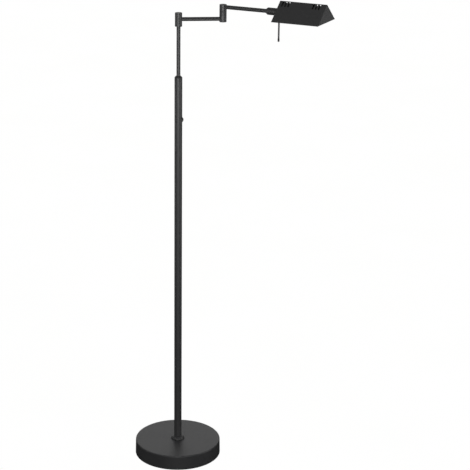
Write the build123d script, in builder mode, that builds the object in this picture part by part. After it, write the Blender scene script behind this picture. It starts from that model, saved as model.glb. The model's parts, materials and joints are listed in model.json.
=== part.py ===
from build123d import *
import os
from math import atan2, cos, degrees, hypot, radians, sin, sqrt

os.makedirs("parts", exist_ok=True)

# Millimetres. The origin is the centre of the foot on the floor, +Z is up,
# and +X runs along the upper arm and the head at rest.

# Base
cover_foot_radius = 127.0
cover_taper = 0.8
cover_height = 44.0
cover_wall = 1.2
cover_edge_radius = 2.5
cover_floor_gap = 0.8
pad_radius = 118.0
pad_thickness = 3.0
plate_radius = 121.0
plate_thickness = 1.5
weight_radius = 106.0
weight_thickness = 18.0
weight_edge_chamfer = 2.0
boss_radius = 8.0
boss_circle_radius = 75.0
boss_count = 3
foot_screw_radius = 2.0
foot_screw_head_radius = 3.6
foot_screw_head_height = 2.0
foot_screw_length = 14.0
foot_screw_point_gap = 1.5
screw_clearance = 0.25
collar_radius = 20.0
collar_rim_height = 3.0
collar_height = 9.0
collar_lip = 1.0
collar_crown_out = 0.62
collar_crown_down = 0.40

# Cord inlet in the back of the skirt
inlet_height = 13.0
inlet_neck_radius = 4.6
inlet_bore_radius = 2.6
inlet_flange_radius = 6.8
inlet_flange_thickness = 1.6
inlet_inner_step = 1.0
inlet_inner_gap = 0.6

# Threaded stud that pulls the pole, the cover and the weight together
stud_radius = 5.0
stud_bore_radius = 3.2
thread_clearance = 0.05
stud_nut_flats = 17.0
stud_nut_height = 7.0
stud_washer_radius = 12.0
stud_washer_thickness = 1.5
stud_tail = 1.5
nut_pocket_radius = 14.0
nut_pocket_depth = 10.0
foot_insert_length = 20.0
stud_insert_depth = 18.0

# Pole, in equal sections screwed end to end
pole_radius = 11.0
pole_wall = 1.0
pole_section_length = 368.5
pole_section_count = 3
press_clearance = 0.03
coupler_length = 40.0
coupler_wall = 2.4
top_collar_rim = 2.0
top_collar_slope = 4.0
top_collar_step = 3.6
top_collar_spigot = 26.0
sleeve_wall = 1.6
sleeve_length = 28.0
running_clearance = 0.05

# Mast, which slides in the pole
mast_radius = 5.5
tube_wall = 1.0
mast_inside_pole = 206.0
mast_exposed = 139.0
guide_length = 16.0
guide_wall_under = 1.5

# Swivel knuckles
knuckle_radius = 10.0
knuckle_wall = 2.5
knuckle_edge = 0.7
knuckle_height = 38.0
knuckle_arm_drop = 18.0
mast_socket_depth = 5.0
knuckle_floor = 4.0
thrust_gap = 0.3
cap_thickness = 2.5
spindle_radius = 4.0
spindle_bore_radius = 2.2
spindle_shank_length = 22.0
spindle_washer_radius = 6.6
spindle_washer_thickness = 1.0
spindle_nut_flats = 12.0
spindle_nut_height = 3.6
spindle_point = 0.6
stack_gap = 0.1

# Arms
arm_radius = 5.5
lower_arm_reach = 123.0
lower_arm_angle = 31.4
elbow_top_above_knuckle = 22.0
elbow_height = 48.5
elbow_split_below_top = 18.5
elbow_split_gap = 0.5
elbow_washer_set_back = 0.4
elbow_washer_thickness = 0.3
elbow_deck = 4.2
upper_arm_drop = 7.0
arm_end_gap = 0.5
spindle_head_radius = 6.4
spindle_head_thickness = 1.2

# Swivel socket between the upper arm and the head
socket_start = 130.5
socket_cone_length = 4.5
socket_cone_radius = 6.9
socket_arm_depth = 20.0
socket_wall_thickness = 4.0
spigot_shank_length = 16.0
nipple_bore_radius = 5.0
nipple_depth = 8.0
nipple_nut_flats = 20.0
nipple_nut_height = 4.0
nipple_end = 1.0

# Shade
shade_start = 170.5
shade_length = 135.5
shade_half_width = 62.5
shade_ridge_above_arm = 32.0
shade_drop_below_arm = 17.3
sheet = 1.0
ridge_radius = 2.5
end_plate_inset = 0.6
slot_width = 4.8
slot_length = 19.0
slot_from_ridge = 2.6
slot_pitch = 8.9
slots_in_group = 3
first_slot_left = 11.0
first_slot_right = 18.1

# Reflector and lamp
reflector_gap = 2.0
reflector_sheet = 0.6
reflector_top_half_width = 5.0
reflector_hem = 5.0
bracket_sheet = 1.2
bracket_half_width = 12.5
bracket_tab_length = 30.0
bracket_tab_height = 13.0
bracket_foot_drop = 12.0
holder_gap = 9.0
holder_length = 19.0
holder_half_width = 8.5
holder_depth = 22.0
holder_edge = 1.5
bulb_socket_depth = 5.0
bulb_cap_half_width = 6.0
bulb_cap_half_height = 4.0
bulb_cap_length = 10.0
bulb_radius = 6.5
bulb_length = 36.0
bulb_tip_edge = 5.85
bulb_foot_edge = 1.95
holder_screw_radius = 1.5
holder_screw_head_radius = 2.8
holder_screw_head_height = 1.8
holder_screw_depth = 6.0
holder_screw_pitch = 10.0

# Tilt handle under the socket
rod_place = 167.8
rod_radius = 2.4
rod_reach = 81.5
rod_thread_radius = 1.6
rod_thread_gap = 0.3
rod_neck_length = 0.6
tip_radius = 2.7
tip_length = 9.0
tip_cover = 6.0
tip_edge = 2.16

# Push switch in the side of the pole
switch_below_pole_top = 119.0
switch_angle = 25.0
bezel_radius = 6.3
bezel_stand_off = 1.8
bezel_neck_radius = 4.9
button_radius = 3.6
button_stand_off = 1.6
button_flange_radius = 4.2
button_flange_thickness = 0.6
button_gap = 0.9
button_edge = 0.8
switch_half_width = 4.4
switch_half_height = 8.0
switch_depth = 1.7
switch_corner_gap = 0.15

# Leads inside the lamp
mains_lead_radius = 2.0
mains_lead_bend = 11.0
fine_lead_radius = 1.4
lead_bend = 4.6
lead_gap = 0.4

# Heights and places worked out from the sizes above
plate_top = pad_thickness + plate_thickness
cover_underside = cover_height - cover_wall
cover_top_radius = cover_foot_radius - cover_taper
weight_bottom = cover_underside - weight_thickness
pocket_top = weight_bottom + nut_pocket_depth
stud_nut_top = pocket_top - stud_washer_thickness
stud_nut_bottom = stud_nut_top - stud_nut_height
stud_bottom = stud_nut_bottom - stud_tail
pole_bore_radius = pole_radius - pole_wall
bezel_neck_reach = sqrt((pole_bore_radius - switch_corner_gap) ** 2 - switch_half_width**2)
bezel_shoulder = bezel_neck_reach + button_gap + button_flange_thickness + stack_gap
pole_top = cover_height + pole_section_count * pole_section_length
collar_top = pole_top + top_collar_rim + top_collar_slope
sleeve_radius = mast_radius + running_clearance + sleeve_wall
mast_bottom = pole_top - mast_inside_pole
mast_bore_radius = mast_radius - tube_wall
cavity_radius = knuckle_radius - knuckle_wall
knuckle_bottom = collar_top + mast_exposed
knuckle_top = knuckle_bottom + knuckle_height
knuckle_floor_bottom = knuckle_bottom + mast_socket_depth
knuckle_floor_top = knuckle_floor_bottom + knuckle_floor
mast_top = knuckle_floor_bottom - thrust_gap
spindle_nut_bottom = knuckle_floor_top + stack_gap + spindle_washer_thickness
spindle_top = spindle_nut_bottom + spindle_nut_height + spindle_point
lower_arm_height = knuckle_top - knuckle_arm_drop
elbow_x = lower_arm_reach * cos(radians(lower_arm_angle))
elbow_y = lower_arm_reach * sin(radians(lower_arm_angle))
elbow_top = knuckle_top + elbow_top_above_knuckle
elbow_bottom = elbow_top - elbow_height
elbow_split = elbow_top - elbow_split_below_top
barrel_top = elbow_split - elbow_split_gap / 2
elbow_floor = elbow_split + elbow_split_gap / 2
barrel_deck_bottom = barrel_top - elbow_deck
elbow_deck_top = elbow_floor + elbow_deck
elbow_nut_top = barrel_deck_bottom - stack_gap - spindle_washer_thickness
elbow_spindle_bottom = elbow_nut_top - spindle_nut_height - spindle_point
upper_arm_height = elbow_top - upper_arm_drop
arm_start = cavity_radius + arm_end_gap
arm_bore_radius = arm_radius - tube_wall
socket_wall_start = socket_start + socket_arm_depth
socket_wall_end = socket_wall_start + socket_wall_thickness
upper_arm_end = socket_wall_start - thrust_gap
spigot_nut_start = socket_wall_end + stack_gap + spindle_washer_thickness
spigot_end = spigot_nut_start + spindle_nut_height + spindle_point
end_plate_face = shade_start + end_plate_inset
shade_end = shade_start + shade_length
outer_plate_face = shade_end - end_plate_inset
face_slope = (shade_ridge_above_arm + shade_drop_below_arm) / shade_half_width
face_stretch = hypot(1.0, face_slope)
face_angle = degrees(atan2(face_slope, 1.0))
nipple_start = end_plate_face - nipple_depth
bracket_face = end_plate_face + sheet
nut_face = bracket_face + bracket_sheet
nipple_stop = nut_face + nipple_nut_height + nipple_end
holder_start = nut_face + holder_gap
bulb_cap_start = holder_start + holder_length - bulb_socket_depth
bulb_start = bulb_cap_start + bulb_cap_length
switch_height = pole_top - switch_below_pole_top

# Working planes. An arm plane has its local z along the arm and its local y upwards.
lower_arm_direction = (cos(radians(lower_arm_angle)), sin(radians(lower_arm_angle)), 0)
lower_arm_sideways = (-sin(radians(lower_arm_angle)), cos(radians(lower_arm_angle)), 0)
lower_arm_plane = Plane((0, 0, lower_arm_height), lower_arm_sideways, lower_arm_direction)
upper_arm_plane = Plane((elbow_x, elbow_y, upper_arm_height), (0, 1, 0), (1, 0, 0))
elbow_plane = Plane((elbow_x, elbow_y, 0))
switch_out = (cos(radians(switch_angle)), sin(radians(switch_angle)), 0)
switch_sideways = (-sin(radians(switch_angle)), cos(radians(switch_angle)), 0)
switch_plane = Plane((0, 0, switch_height), switch_sideways, switch_out)


# A plain tube, bush or washer standing on a plane.
def ring(plane, outer_radius, inner_radius, length):
    with BuildPart() as piece:
        with BuildSketch(plane):
            Circle(outer_radius)
            Circle(inner_radius, mode=Mode.SUBTRACT)
        extrude(amount=length)
    return piece


# A hexagon nut standing on a plane, with the corners of both faces turned off.
def hexagon_nut(plane, across_flats, bore_radius, height):
    corner_radius = across_flats / 2 / cos(radians(30))
    turned_radius = (across_flats / 2 + corner_radius) / 2
    corner_cut = (corner_radius - turned_radius) * 2
    with BuildPart() as piece:
        with BuildSketch(plane):
            RegularPolygon(corner_radius, 6)
        extrude(amount=height)
        with BuildSketch(plane):
            Circle(corner_radius)
        extrude(amount=height, mode=Mode.INTERSECT)
        with BuildPart(plane, mode=Mode.INTERSECT):
            with Locations((0, 0, height / 2)):
                Cylinder(corner_radius, height)
            chamfer(edges().filter_by(GeomType.CIRCLE), corner_cut / 2, corner_cut / 2)
        with BuildSketch(plane):
            Circle(bore_radius)
        extrude(amount=height, mode=Mode.SUBTRACT)
    return piece


# A flat cap that closes the bore of a knuckle.
def knuckle_plug(plane):
    with BuildPart() as piece:
        with BuildSketch(plane):
            Circle(cavity_radius - press_clearance)
        extrude(amount=cap_thickness)
    return piece


# Base

with BuildPart() as base_pad:
    with BuildSketch():
        Circle(pad_radius)
        with PolarLocations(boss_circle_radius, boss_count):
            Circle(foot_screw_head_radius + 2 * screw_clearance, mode=Mode.SUBTRACT)
    extrude(amount=pad_thickness)
base_pad.part.label = "base_pad"
export_step(base_pad.part, "parts/base_pad.step")

with BuildPart() as base_plate:
    with BuildSketch(Plane.XY.offset(pad_thickness)):
        Circle(plate_radius)
        with PolarLocations(boss_circle_radius, boss_count):
            Circle(foot_screw_radius + screw_clearance, mode=Mode.SUBTRACT)
    extrude(amount=plate_thickness)
base_plate.part.label = "base_plate"
export_step(base_plate.part, "parts/base_plate.step")

with BuildPart() as base_screws:
    with BuildSketch(Plane.XY.offset(pad_thickness - foot_screw_head_height)):
        with PolarLocations(boss_circle_radius, boss_count):
            Circle(foot_screw_head_radius)
    extrude(amount=foot_screw_head_height)
    with BuildSketch(Plane.XY.offset(pad_thickness)):
        with PolarLocations(boss_circle_radius, boss_count):
            Circle(foot_screw_radius)
    extrude(amount=foot_screw_length)
base_screws.part.label = "base_screws"
export_step(base_screws.part, "parts/base_screws.step")

with BuildPart() as base_weight:
    with BuildSketch(Plane.XY.offset(weight_bottom)):
        Circle(weight_radius)
    extrude(amount=weight_thickness)
    chamfer(base_weight.edges().filter_by(GeomType.CIRCLE), weight_edge_chamfer)
    with BuildSketch(Plane.XY.offset(plate_top)):
        with PolarLocations(boss_circle_radius, boss_count):
            Circle(boss_radius)
    extrude(amount=weight_bottom - plate_top)
    with BuildSketch(Plane.XY.offset(weight_bottom)):
        Circle(nut_pocket_radius)
    extrude(amount=nut_pocket_depth, mode=Mode.SUBTRACT)
    with BuildSketch(Plane.XY.offset(pocket_top)):
        Circle(stud_radius + screw_clearance)
    extrude(amount=weight_thickness, mode=Mode.SUBTRACT)
    with BuildSketch(Plane.XY.offset(plate_top)):
        with PolarLocations(boss_circle_radius, boss_count):
            Circle(foot_screw_radius + thread_clearance)
    extrude(amount=foot_screw_length + foot_screw_point_gap - plate_thickness, mode=Mode.SUBTRACT)
base_weight.part.label = "base_weight"
export_step(base_weight.part, "parts/base_weight.step")

with BuildPart() as base_cover:
    with BuildSketch(Plane.XZ):
        with BuildLine():
            Polyline(
                (stud_radius + screw_clearance, cover_height),
                (cover_top_radius, cover_height),
                (cover_foot_radius, cover_floor_gap),
                (cover_foot_radius - cover_wall, cover_floor_gap),
                (cover_top_radius - cover_wall, cover_underside),
                (stud_radius + screw_clearance, cover_underside),
                close=True,
            )
        make_face()
    revolve(axis=Axis.Z)
    rim_edges = base_cover.edges().filter_by(GeomType.CIRCLE)
    outer_rim = rim_edges.filter_by(lambda edge: abs(edge.radius - cover_top_radius) < 0.01)
    inner_rim_radius = cover_top_radius - cover_wall
    inner_rim = rim_edges.filter_by(lambda edge: abs(edge.radius - inner_rim_radius) < 0.01)
    fillet(outer_rim, cover_edge_radius)
    fillet(inner_rim, cover_edge_radius - cover_wall)
    with BuildSketch(Plane((0, 0, inlet_height), (0, 1, 0), (-1, 0, 0))):
        Circle(inlet_neck_radius + thread_clearance)
    extrude(amount=cover_foot_radius + cover_wall, mode=Mode.SUBTRACT)
base_cover.part.label = "base_cover"
export_step(base_cover.part, "parts/base_cover.step")

# The inlet bush is a rubber bobbin: an outer lip, a neck through the skirt and an inner lip.
inlet_lip_inner = cover_top_radius - cover_wall - inlet_flange_thickness - inlet_inner_gap
with BuildPart() as cord_inlet:
    inlet_plane = Plane((0, 0, inlet_height), (0, 1, 0), (-1, 0, 0))
    with BuildSketch(inlet_plane.offset(inlet_lip_inner)):
        Circle(inlet_flange_radius - inlet_inner_step)
    extrude(amount=inlet_flange_thickness)
    with BuildSketch(inlet_plane.offset(inlet_lip_inner)):
        Circle(inlet_neck_radius)
    extrude(amount=cover_foot_radius + thread_clearance - inlet_lip_inner)
    with BuildSketch(inlet_plane.offset(cover_foot_radius + thread_clearance)):
        Circle(inlet_flange_radius)
    extrude(amount=inlet_flange_thickness)
    fillet(cord_inlet.edges().sort_by(Axis.X)[0], inlet_flange_thickness / 2)
    with BuildSketch(inlet_plane.offset(inlet_lip_inner)):
        Circle(inlet_bore_radius)
    extrude(amount=cover_foot_radius, mode=Mode.SUBTRACT)
cord_inlet.part.label = "cord_inlet"
export_step(cord_inlet.part, "parts/cord_inlet.step")

with BuildPart() as base_collar:
    with BuildSketch(Plane.XZ):
        with BuildLine():
            collar_bore = pole_radius + running_clearance
            inner_top = (collar_bore, cover_height + collar_height)
            lip_top = (collar_bore + collar_lip, cover_height + collar_height)
            rim_top = (collar_radius, cover_height + collar_rim_height)
            Polyline(inner_top, lip_top)
            crown = ThreePointArc(
                lip_top,
                (
                    lip_top[0] + (rim_top[0] - lip_top[0]) * collar_crown_out,
                    lip_top[1] + (rim_top[1] - lip_top[1]) * collar_crown_down,
                ),
                rim_top,
            )
            Polyline(crown @ 1, (collar_radius, cover_height), (collar_bore, cover_height), inner_top)
        make_face()
    revolve(axis=Axis.Z)
base_collar.part.label = "base_collar"
export_step(base_collar.part, "parts/base_collar.step")

# Stud and its hardware

stud_length = cover_height + stud_insert_depth - stud_bottom
pole_stud = ring(Plane.XY.offset(stud_bottom), stud_radius, stud_bore_radius, stud_length)
pole_stud.part.label = "pole_stud"
export_step(pole_stud.part, "parts/pole_stud.step")

stud_hole_radius = stud_radius + thread_clearance
washer_plane = Plane.XY.offset(stud_nut_top)
stud_washer = ring(washer_plane, stud_washer_radius, stud_hole_radius, stud_washer_thickness)
stud_washer.part.label = "stud_washer"
export_step(stud_washer.part, "parts/stud_washer.step")

stud_nut_plane = Plane.XY.offset(stud_nut_bottom)
stud_nut = hexagon_nut(stud_nut_plane, stud_nut_flats, stud_hole_radius, stud_nut_height)
stud_nut.part.label = "stud_nut"
export_step(stud_nut.part, "parts/stud_nut.step")

insert_radius = pole_bore_radius - press_clearance
insert_plane = Plane.XY.offset(cover_height)
pole_foot_insert = ring(insert_plane, insert_radius, stud_hole_radius, foot_insert_length)
pole_foot_insert.part.label = "pole_foot_insert"
export_step(pole_foot_insert.part, "parts/pole_foot_insert.step")

# Pole

section_names = ["pole_lower", "pole_middle"]
for index, section_name in enumerate(section_names):
    section_plane = Plane.XY.offset(cover_height + index * pole_section_length)
    section = ring(section_plane, pole_radius, pole_bore_radius, pole_section_length)
    section.part.label = section_name
    export_step(section.part, f"parts/{section_name}.step")

with BuildPart() as pole_upper:
    with BuildSketch(Plane.XY.offset(pole_top - pole_section_length)):
        Circle(pole_radius)
        Circle(pole_bore_radius, mode=Mode.SUBTRACT)
    extrude(amount=pole_section_length)
    with BuildSketch(switch_plane):
        Circle(bezel_neck_radius + thread_clearance)
    extrude(amount=pole_radius + pole_wall, mode=Mode.SUBTRACT)
pole_upper.part.label = "pole_upper"
export_step(pole_upper.part, "parts/pole_upper.step")

with BuildPart() as pole_couplers:
    for seam in range(1, pole_section_count):
        seam_height = cover_height + seam * pole_section_length
        with BuildSketch(Plane.XY.offset(seam_height - coupler_length / 2)):
            Circle(insert_radius)
            Circle(insert_radius - coupler_wall, mode=Mode.SUBTRACT)
        extrude(amount=coupler_length)
pole_couplers.part.label = "pole_couplers"
export_step(pole_couplers.part, "parts/pole_couplers.step")

with BuildPart() as pole_collar:
    with BuildSketch(Plane.XZ):
        with BuildLine():
            Polyline(
                (sleeve_radius + press_clearance, pole_top - top_collar_spigot),
                (insert_radius, pole_top - top_collar_spigot),
                (insert_radius, pole_top),
                (pole_radius, pole_top),
                (pole_radius, pole_top + top_collar_rim),
                (pole_radius - top_collar_step, collar_top),
                (mast_radius + running_clearance, collar_top),
                (mast_radius + running_clearance, pole_top + top_collar_rim),
                (sleeve_radius + press_clearance, pole_top + top_collar_rim),
                close=True,
            )
        make_face()
    revolve(axis=Axis.Z)
pole_collar.part.label = "pole_collar"
export_step(pole_collar.part, "parts/pole_collar.step")

sleeve_plane = Plane.XY.offset(pole_top + top_collar_rim - sleeve_length)
friction_sleeve = ring(sleeve_plane, sleeve_radius, mast_radius + running_clearance, sleeve_length)
friction_sleeve.part.label = "friction_sleeve"
export_step(friction_sleeve.part, "parts/friction_sleeve.step")

# Switch

# The bezel's flange is saddled to the pole, and its neck passes through the wall.
with BuildPart() as switch_bezel:
    with BuildSketch(switch_plane):
        Circle(bezel_radius)
    extrude(amount=pole_radius + bezel_stand_off)
    with BuildSketch(Plane.XY.offset(switch_height - 2 * bezel_radius)):
        Circle(pole_radius + thread_clearance)
    extrude(amount=4 * bezel_radius, mode=Mode.SUBTRACT)
    with BuildSketch(switch_plane.offset(bezel_neck_reach)):
        Circle(bezel_neck_radius)
    extrude(amount=pole_radius - bezel_neck_reach + bezel_stand_off / 2)
    with BuildSketch(switch_plane):
        Circle(button_radius + running_clearance)
    extrude(amount=2 * pole_radius, mode=Mode.SUBTRACT)
    with BuildSketch(switch_plane.offset(bezel_neck_reach)):
        Circle(button_flange_radius + running_clearance)
    extrude(amount=bezel_shoulder - bezel_neck_reach, mode=Mode.SUBTRACT)
    outer_face = switch_bezel.faces().filter_by(switch_plane).sort_by(SortBy.DISTANCE)[-1]
    chamfer(outer_face.edges().sort_by(SortBy.LENGTH)[-1], button_edge)
switch_bezel.part.label = "switch_bezel"
export_step(switch_bezel.part, "parts/switch_bezel.step")

with BuildPart() as switch_button:
    with BuildSketch(switch_plane.offset(bezel_neck_reach + button_gap)):
        Circle(button_radius)
    extrude(amount=pole_radius + bezel_stand_off + button_stand_off - bezel_neck_reach - button_gap)
    button_top = switch_button.faces().filter_by(switch_plane).sort_by(SortBy.DISTANCE)[-1]
    fillet(button_top.edges(), button_edge)
    with BuildSketch(switch_plane.offset(bezel_neck_reach + button_gap)):
        Circle(button_flange_radius)
    extrude(amount=button_flange_thickness)
switch_button.part.label = "switch_button"
export_step(switch_button.part, "parts/switch_button.step")

with BuildPart() as switch_body:
    with BuildSketch(switch_plane.offset(bezel_neck_reach - switch_depth)):
        Rectangle(2 * switch_half_width, 2 * switch_half_height)
    extrude(amount=switch_depth)
switch_body.part.label = "switch_body"
export_step(switch_body.part, "parts/switch_body.step")

# Mast

mast_tube = ring(Plane.XY.offset(mast_bottom), mast_radius, mast_bore_radius, mast_top - mast_bottom)
mast_tube.part.label = "mast_tube"
export_step(mast_tube.part, "parts/mast_tube.step")

with BuildPart() as mast_guide:
    with BuildSketch(Plane.XY.offset(mast_bottom - guide_wall_under)):
        Circle(pole_bore_radius - running_clearance)
        Circle(mast_bore_radius, mode=Mode.SUBTRACT)
    extrude(amount=guide_length)
    with BuildSketch(Plane.XY.offset(mast_bottom)):
        Circle(mast_radius + press_clearance)
    extrude(amount=guide_length, mode=Mode.SUBTRACT)
mast_guide.part.label = "mast_guide"
export_step(mast_guide.part, "parts/mast_guide.step")

with BuildPart() as mast_spindle:
    with BuildSketch(Plane.XY.offset(mast_top - spindle_shank_length)):
        Circle(mast_bore_radius - press_clearance)
    extrude(amount=spindle_shank_length)
    with BuildSketch(Plane.XY.offset(mast_top)):
        Circle(spindle_radius)
    extrude(amount=spindle_top - mast_top)
    with BuildSketch(Plane.XY.offset(mast_top - spindle_shank_length)):
        Circle(spindle_bore_radius)
    extrude(amount=spindle_top - mast_top + spindle_shank_length, mode=Mode.SUBTRACT)
mast_spindle.part.label = "mast_spindle"
export_step(mast_spindle.part, "parts/mast_spindle.step")

spindle_hole_radius = spindle_radius + press_clearance
mast_spindle_washer = ring(
    Plane.XY.offset(knuckle_floor_top + stack_gap),
    spindle_washer_radius,
    spindle_hole_radius,
    spindle_washer_thickness,
)
mast_spindle_washer.part.label = "mast_spindle_washer"
export_step(mast_spindle_washer.part, "parts/mast_spindle_washer.step")

mast_nut_plane = Plane.XY.offset(spindle_nut_bottom)
mast_spindle_nut = hexagon_nut(
    mast_nut_plane, spindle_nut_flats, spindle_hole_radius, spindle_nut_height
)
mast_spindle_nut.part.label = "mast_spindle_nut"
export_step(mast_spindle_nut.part, "parts/mast_spindle_nut.step")

# Lower arm

with BuildPart() as lower_knuckle:
    with BuildSketch(Plane.XY.offset(knuckle_bottom)):
        Circle(knuckle_radius)
    extrude(amount=knuckle_height)
    chamfer(lower_knuckle.edges().filter_by(GeomType.CIRCLE), knuckle_edge)
    with BuildSketch(Plane.XY.offset(knuckle_bottom)):
        Circle(mast_radius + running_clearance)
    extrude(amount=mast_socket_depth, mode=Mode.SUBTRACT)
    with BuildSketch(Plane.XY.offset(knuckle_floor_bottom)):
        Circle(spindle_radius + running_clearance)
    extrude(amount=knuckle_floor, mode=Mode.SUBTRACT)
    with BuildSketch(Plane.XY.offset(knuckle_floor_top)):
        Circle(cavity_radius)
    extrude(amount=knuckle_height, mode=Mode.SUBTRACT)
    with BuildSketch(lower_arm_plane):
        Circle(arm_radius + press_clearance)
    extrude(amount=knuckle_radius + 1, mode=Mode.SUBTRACT)
lower_knuckle.part.label = "lower_knuckle"
export_step(lower_knuckle.part, "parts/lower_knuckle.step")

lower_knuckle_cap = knuckle_plug(Plane.XY.offset(knuckle_top - cap_thickness))
lower_knuckle_cap.part.label = "lower_knuckle_cap"
export_step(lower_knuckle_cap.part, "parts/lower_knuckle_cap.step")

lower_arm_length = lower_arm_reach - 2 * arm_start
lower_arm_tube = ring(lower_arm_plane.offset(arm_start), arm_radius, arm_bore_radius, lower_arm_length)
lower_arm_tube.part.label = "lower_arm_tube"
export_step(lower_arm_tube.part, "parts/lower_arm_tube.step")

with BuildPart() as elbow_barrel:
    with BuildSketch(elbow_plane.offset(elbow_bottom)):
        Circle(knuckle_radius)
    extrude(amount=barrel_top - elbow_bottom)
    chamfer(elbow_barrel.edges().group_by(Axis.Z)[0], knuckle_edge)
    with BuildSketch(elbow_plane.offset(elbow_bottom)):
        Circle(cavity_radius)
    extrude(amount=barrel_deck_bottom - elbow_bottom, mode=Mode.SUBTRACT)
    with BuildSketch(elbow_plane.offset(barrel_deck_bottom)):
        Circle(spindle_radius + running_clearance)
    extrude(amount=elbow_deck, mode=Mode.SUBTRACT)
    with BuildSketch(lower_arm_plane.offset(lower_arm_reach - knuckle_radius - 1)):
        Circle(arm_radius + press_clearance)
    extrude(amount=knuckle_radius + 1, mode=Mode.SUBTRACT)
elbow_barrel.part.label = "elbow_barrel"
export_step(elbow_barrel.part, "parts/elbow_barrel.step")

elbow_barrel_cap = knuckle_plug(elbow_plane.offset(elbow_bottom))
elbow_barrel_cap.part.label = "elbow_barrel_cap"
export_step(elbow_barrel_cap.part, "parts/elbow_barrel_cap.step")

# Upper arm

with BuildPart() as elbow_knuckle:
    with BuildSketch(elbow_plane.offset(elbow_floor)):
        Circle(knuckle_radius)
    extrude(amount=elbow_top - elbow_floor)
    chamfer(elbow_knuckle.edges().group_by(Axis.Z)[-1], knuckle_edge)
    with BuildSketch(elbow_plane.offset(elbow_floor)):
        Circle(mast_bore_radius)
    extrude(amount=elbow_deck, mode=Mode.SUBTRACT)
    with BuildSketch(elbow_plane.offset(elbow_deck_top)):
        Circle(cavity_radius)
    extrude(amount=elbow_top - elbow_deck_top, mode=Mode.SUBTRACT)
    with BuildSketch(upper_arm_plane):
        Circle(arm_radius + press_clearance)
    extrude(amount=knuckle_radius + 1, mode=Mode.SUBTRACT)
elbow_knuckle.part.label = "elbow_knuckle"
export_step(elbow_knuckle.part, "parts/elbow_knuckle.step")

elbow_knuckle_cap = knuckle_plug(elbow_plane.offset(elbow_top - cap_thickness))
elbow_knuckle_cap.part.label = "elbow_knuckle_cap"
export_step(elbow_knuckle_cap.part, "parts/elbow_knuckle_cap.step")

elbow_washer_bottom = elbow_split - elbow_washer_thickness / 2
elbow_thrust_washer = ring(
    elbow_plane.offset(elbow_washer_bottom),
    knuckle_radius - elbow_washer_set_back,
    spindle_hole_radius,
    elbow_washer_thickness,
)
elbow_thrust_washer.part.label = "elbow_thrust_washer"
export_step(elbow_thrust_washer.part, "parts/elbow_thrust_washer.step")

with BuildPart() as elbow_spindle:
    with BuildSketch(elbow_plane.offset(elbow_spindle_bottom)):
        Circle(spindle_radius)
    extrude(amount=elbow_deck_top - elbow_spindle_bottom)
    with BuildSketch(elbow_plane.offset(elbow_floor)):
        Circle(mast_bore_radius - press_clearance)
    extrude(amount=elbow_deck)
    with BuildSketch(elbow_plane.offset(elbow_deck_top)):
        Circle(spindle_head_radius)
    extrude(amount=spindle_head_thickness)
    with BuildSketch(elbow_plane.offset(elbow_spindle_bottom)):
        Circle(spindle_bore_radius)
    extrude(amount=elbow_height, mode=Mode.SUBTRACT)
elbow_spindle.part.label = "elbow_spindle"
export_step(elbow_spindle.part, "parts/elbow_spindle.step")

elbow_spindle_washer = ring(
    elbow_plane.offset(elbow_nut_top),
    spindle_washer_radius,
    spindle_hole_radius,
    spindle_washer_thickness,
)
elbow_spindle_washer.part.label = "elbow_spindle_washer"
export_step(elbow_spindle_washer.part, "parts/elbow_spindle_washer.step")

elbow_nut_plane = elbow_plane.offset(elbow_nut_top - spindle_nut_height)
elbow_spindle_nut = hexagon_nut(
    elbow_nut_plane, spindle_nut_flats, spindle_hole_radius, spindle_nut_height
)
elbow_spindle_nut.part.label = "elbow_spindle_nut"
export_step(elbow_spindle_nut.part, "parts/elbow_spindle_nut.step")

upper_arm_tube = ring(
    upper_arm_plane.offset(arm_start), arm_radius, arm_bore_radius, upper_arm_end - arm_start
)
upper_arm_tube.part.label = "upper_arm_tube"
export_step(upper_arm_tube.part, "parts/upper_arm_tube.step")

with BuildPart() as swivel_spigot:
    with BuildSketch(upper_arm_plane.offset(upper_arm_end - spigot_shank_length)):
        Circle(arm_bore_radius - press_clearance)
    extrude(amount=spigot_shank_length)
    with BuildSketch(upper_arm_plane.offset(upper_arm_end)):
        Circle(spindle_radius)
    extrude(amount=spigot_end - upper_arm_end)
    with BuildSketch(upper_arm_plane.offset(upper_arm_end - spigot_shank_length)):
        Circle(spindle_bore_radius)
    extrude(amount=spigot_end, mode=Mode.SUBTRACT)
swivel_spigot.part.label = "swivel_spigot"
export_step(swivel_spigot.part, "parts/swivel_spigot.step")

swivel_washer = ring(
    upper_arm_plane.offset(socket_wall_end + stack_gap),
    spindle_washer_radius,
    spindle_hole_radius,
    spindle_washer_thickness,
)
swivel_washer.part.label = "swivel_washer"
export_step(swivel_washer.part, "parts/swivel_washer.step")

swivel_nut = hexagon_nut(
    upper_arm_plane.offset(spigot_nut_start),
    spindle_nut_flats,
    spindle_hole_radius,
    spindle_nut_height,
)
swivel_nut.part.label = "swivel_nut"
export_step(swivel_nut.part, "parts/swivel_nut.step")

# Head

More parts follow.
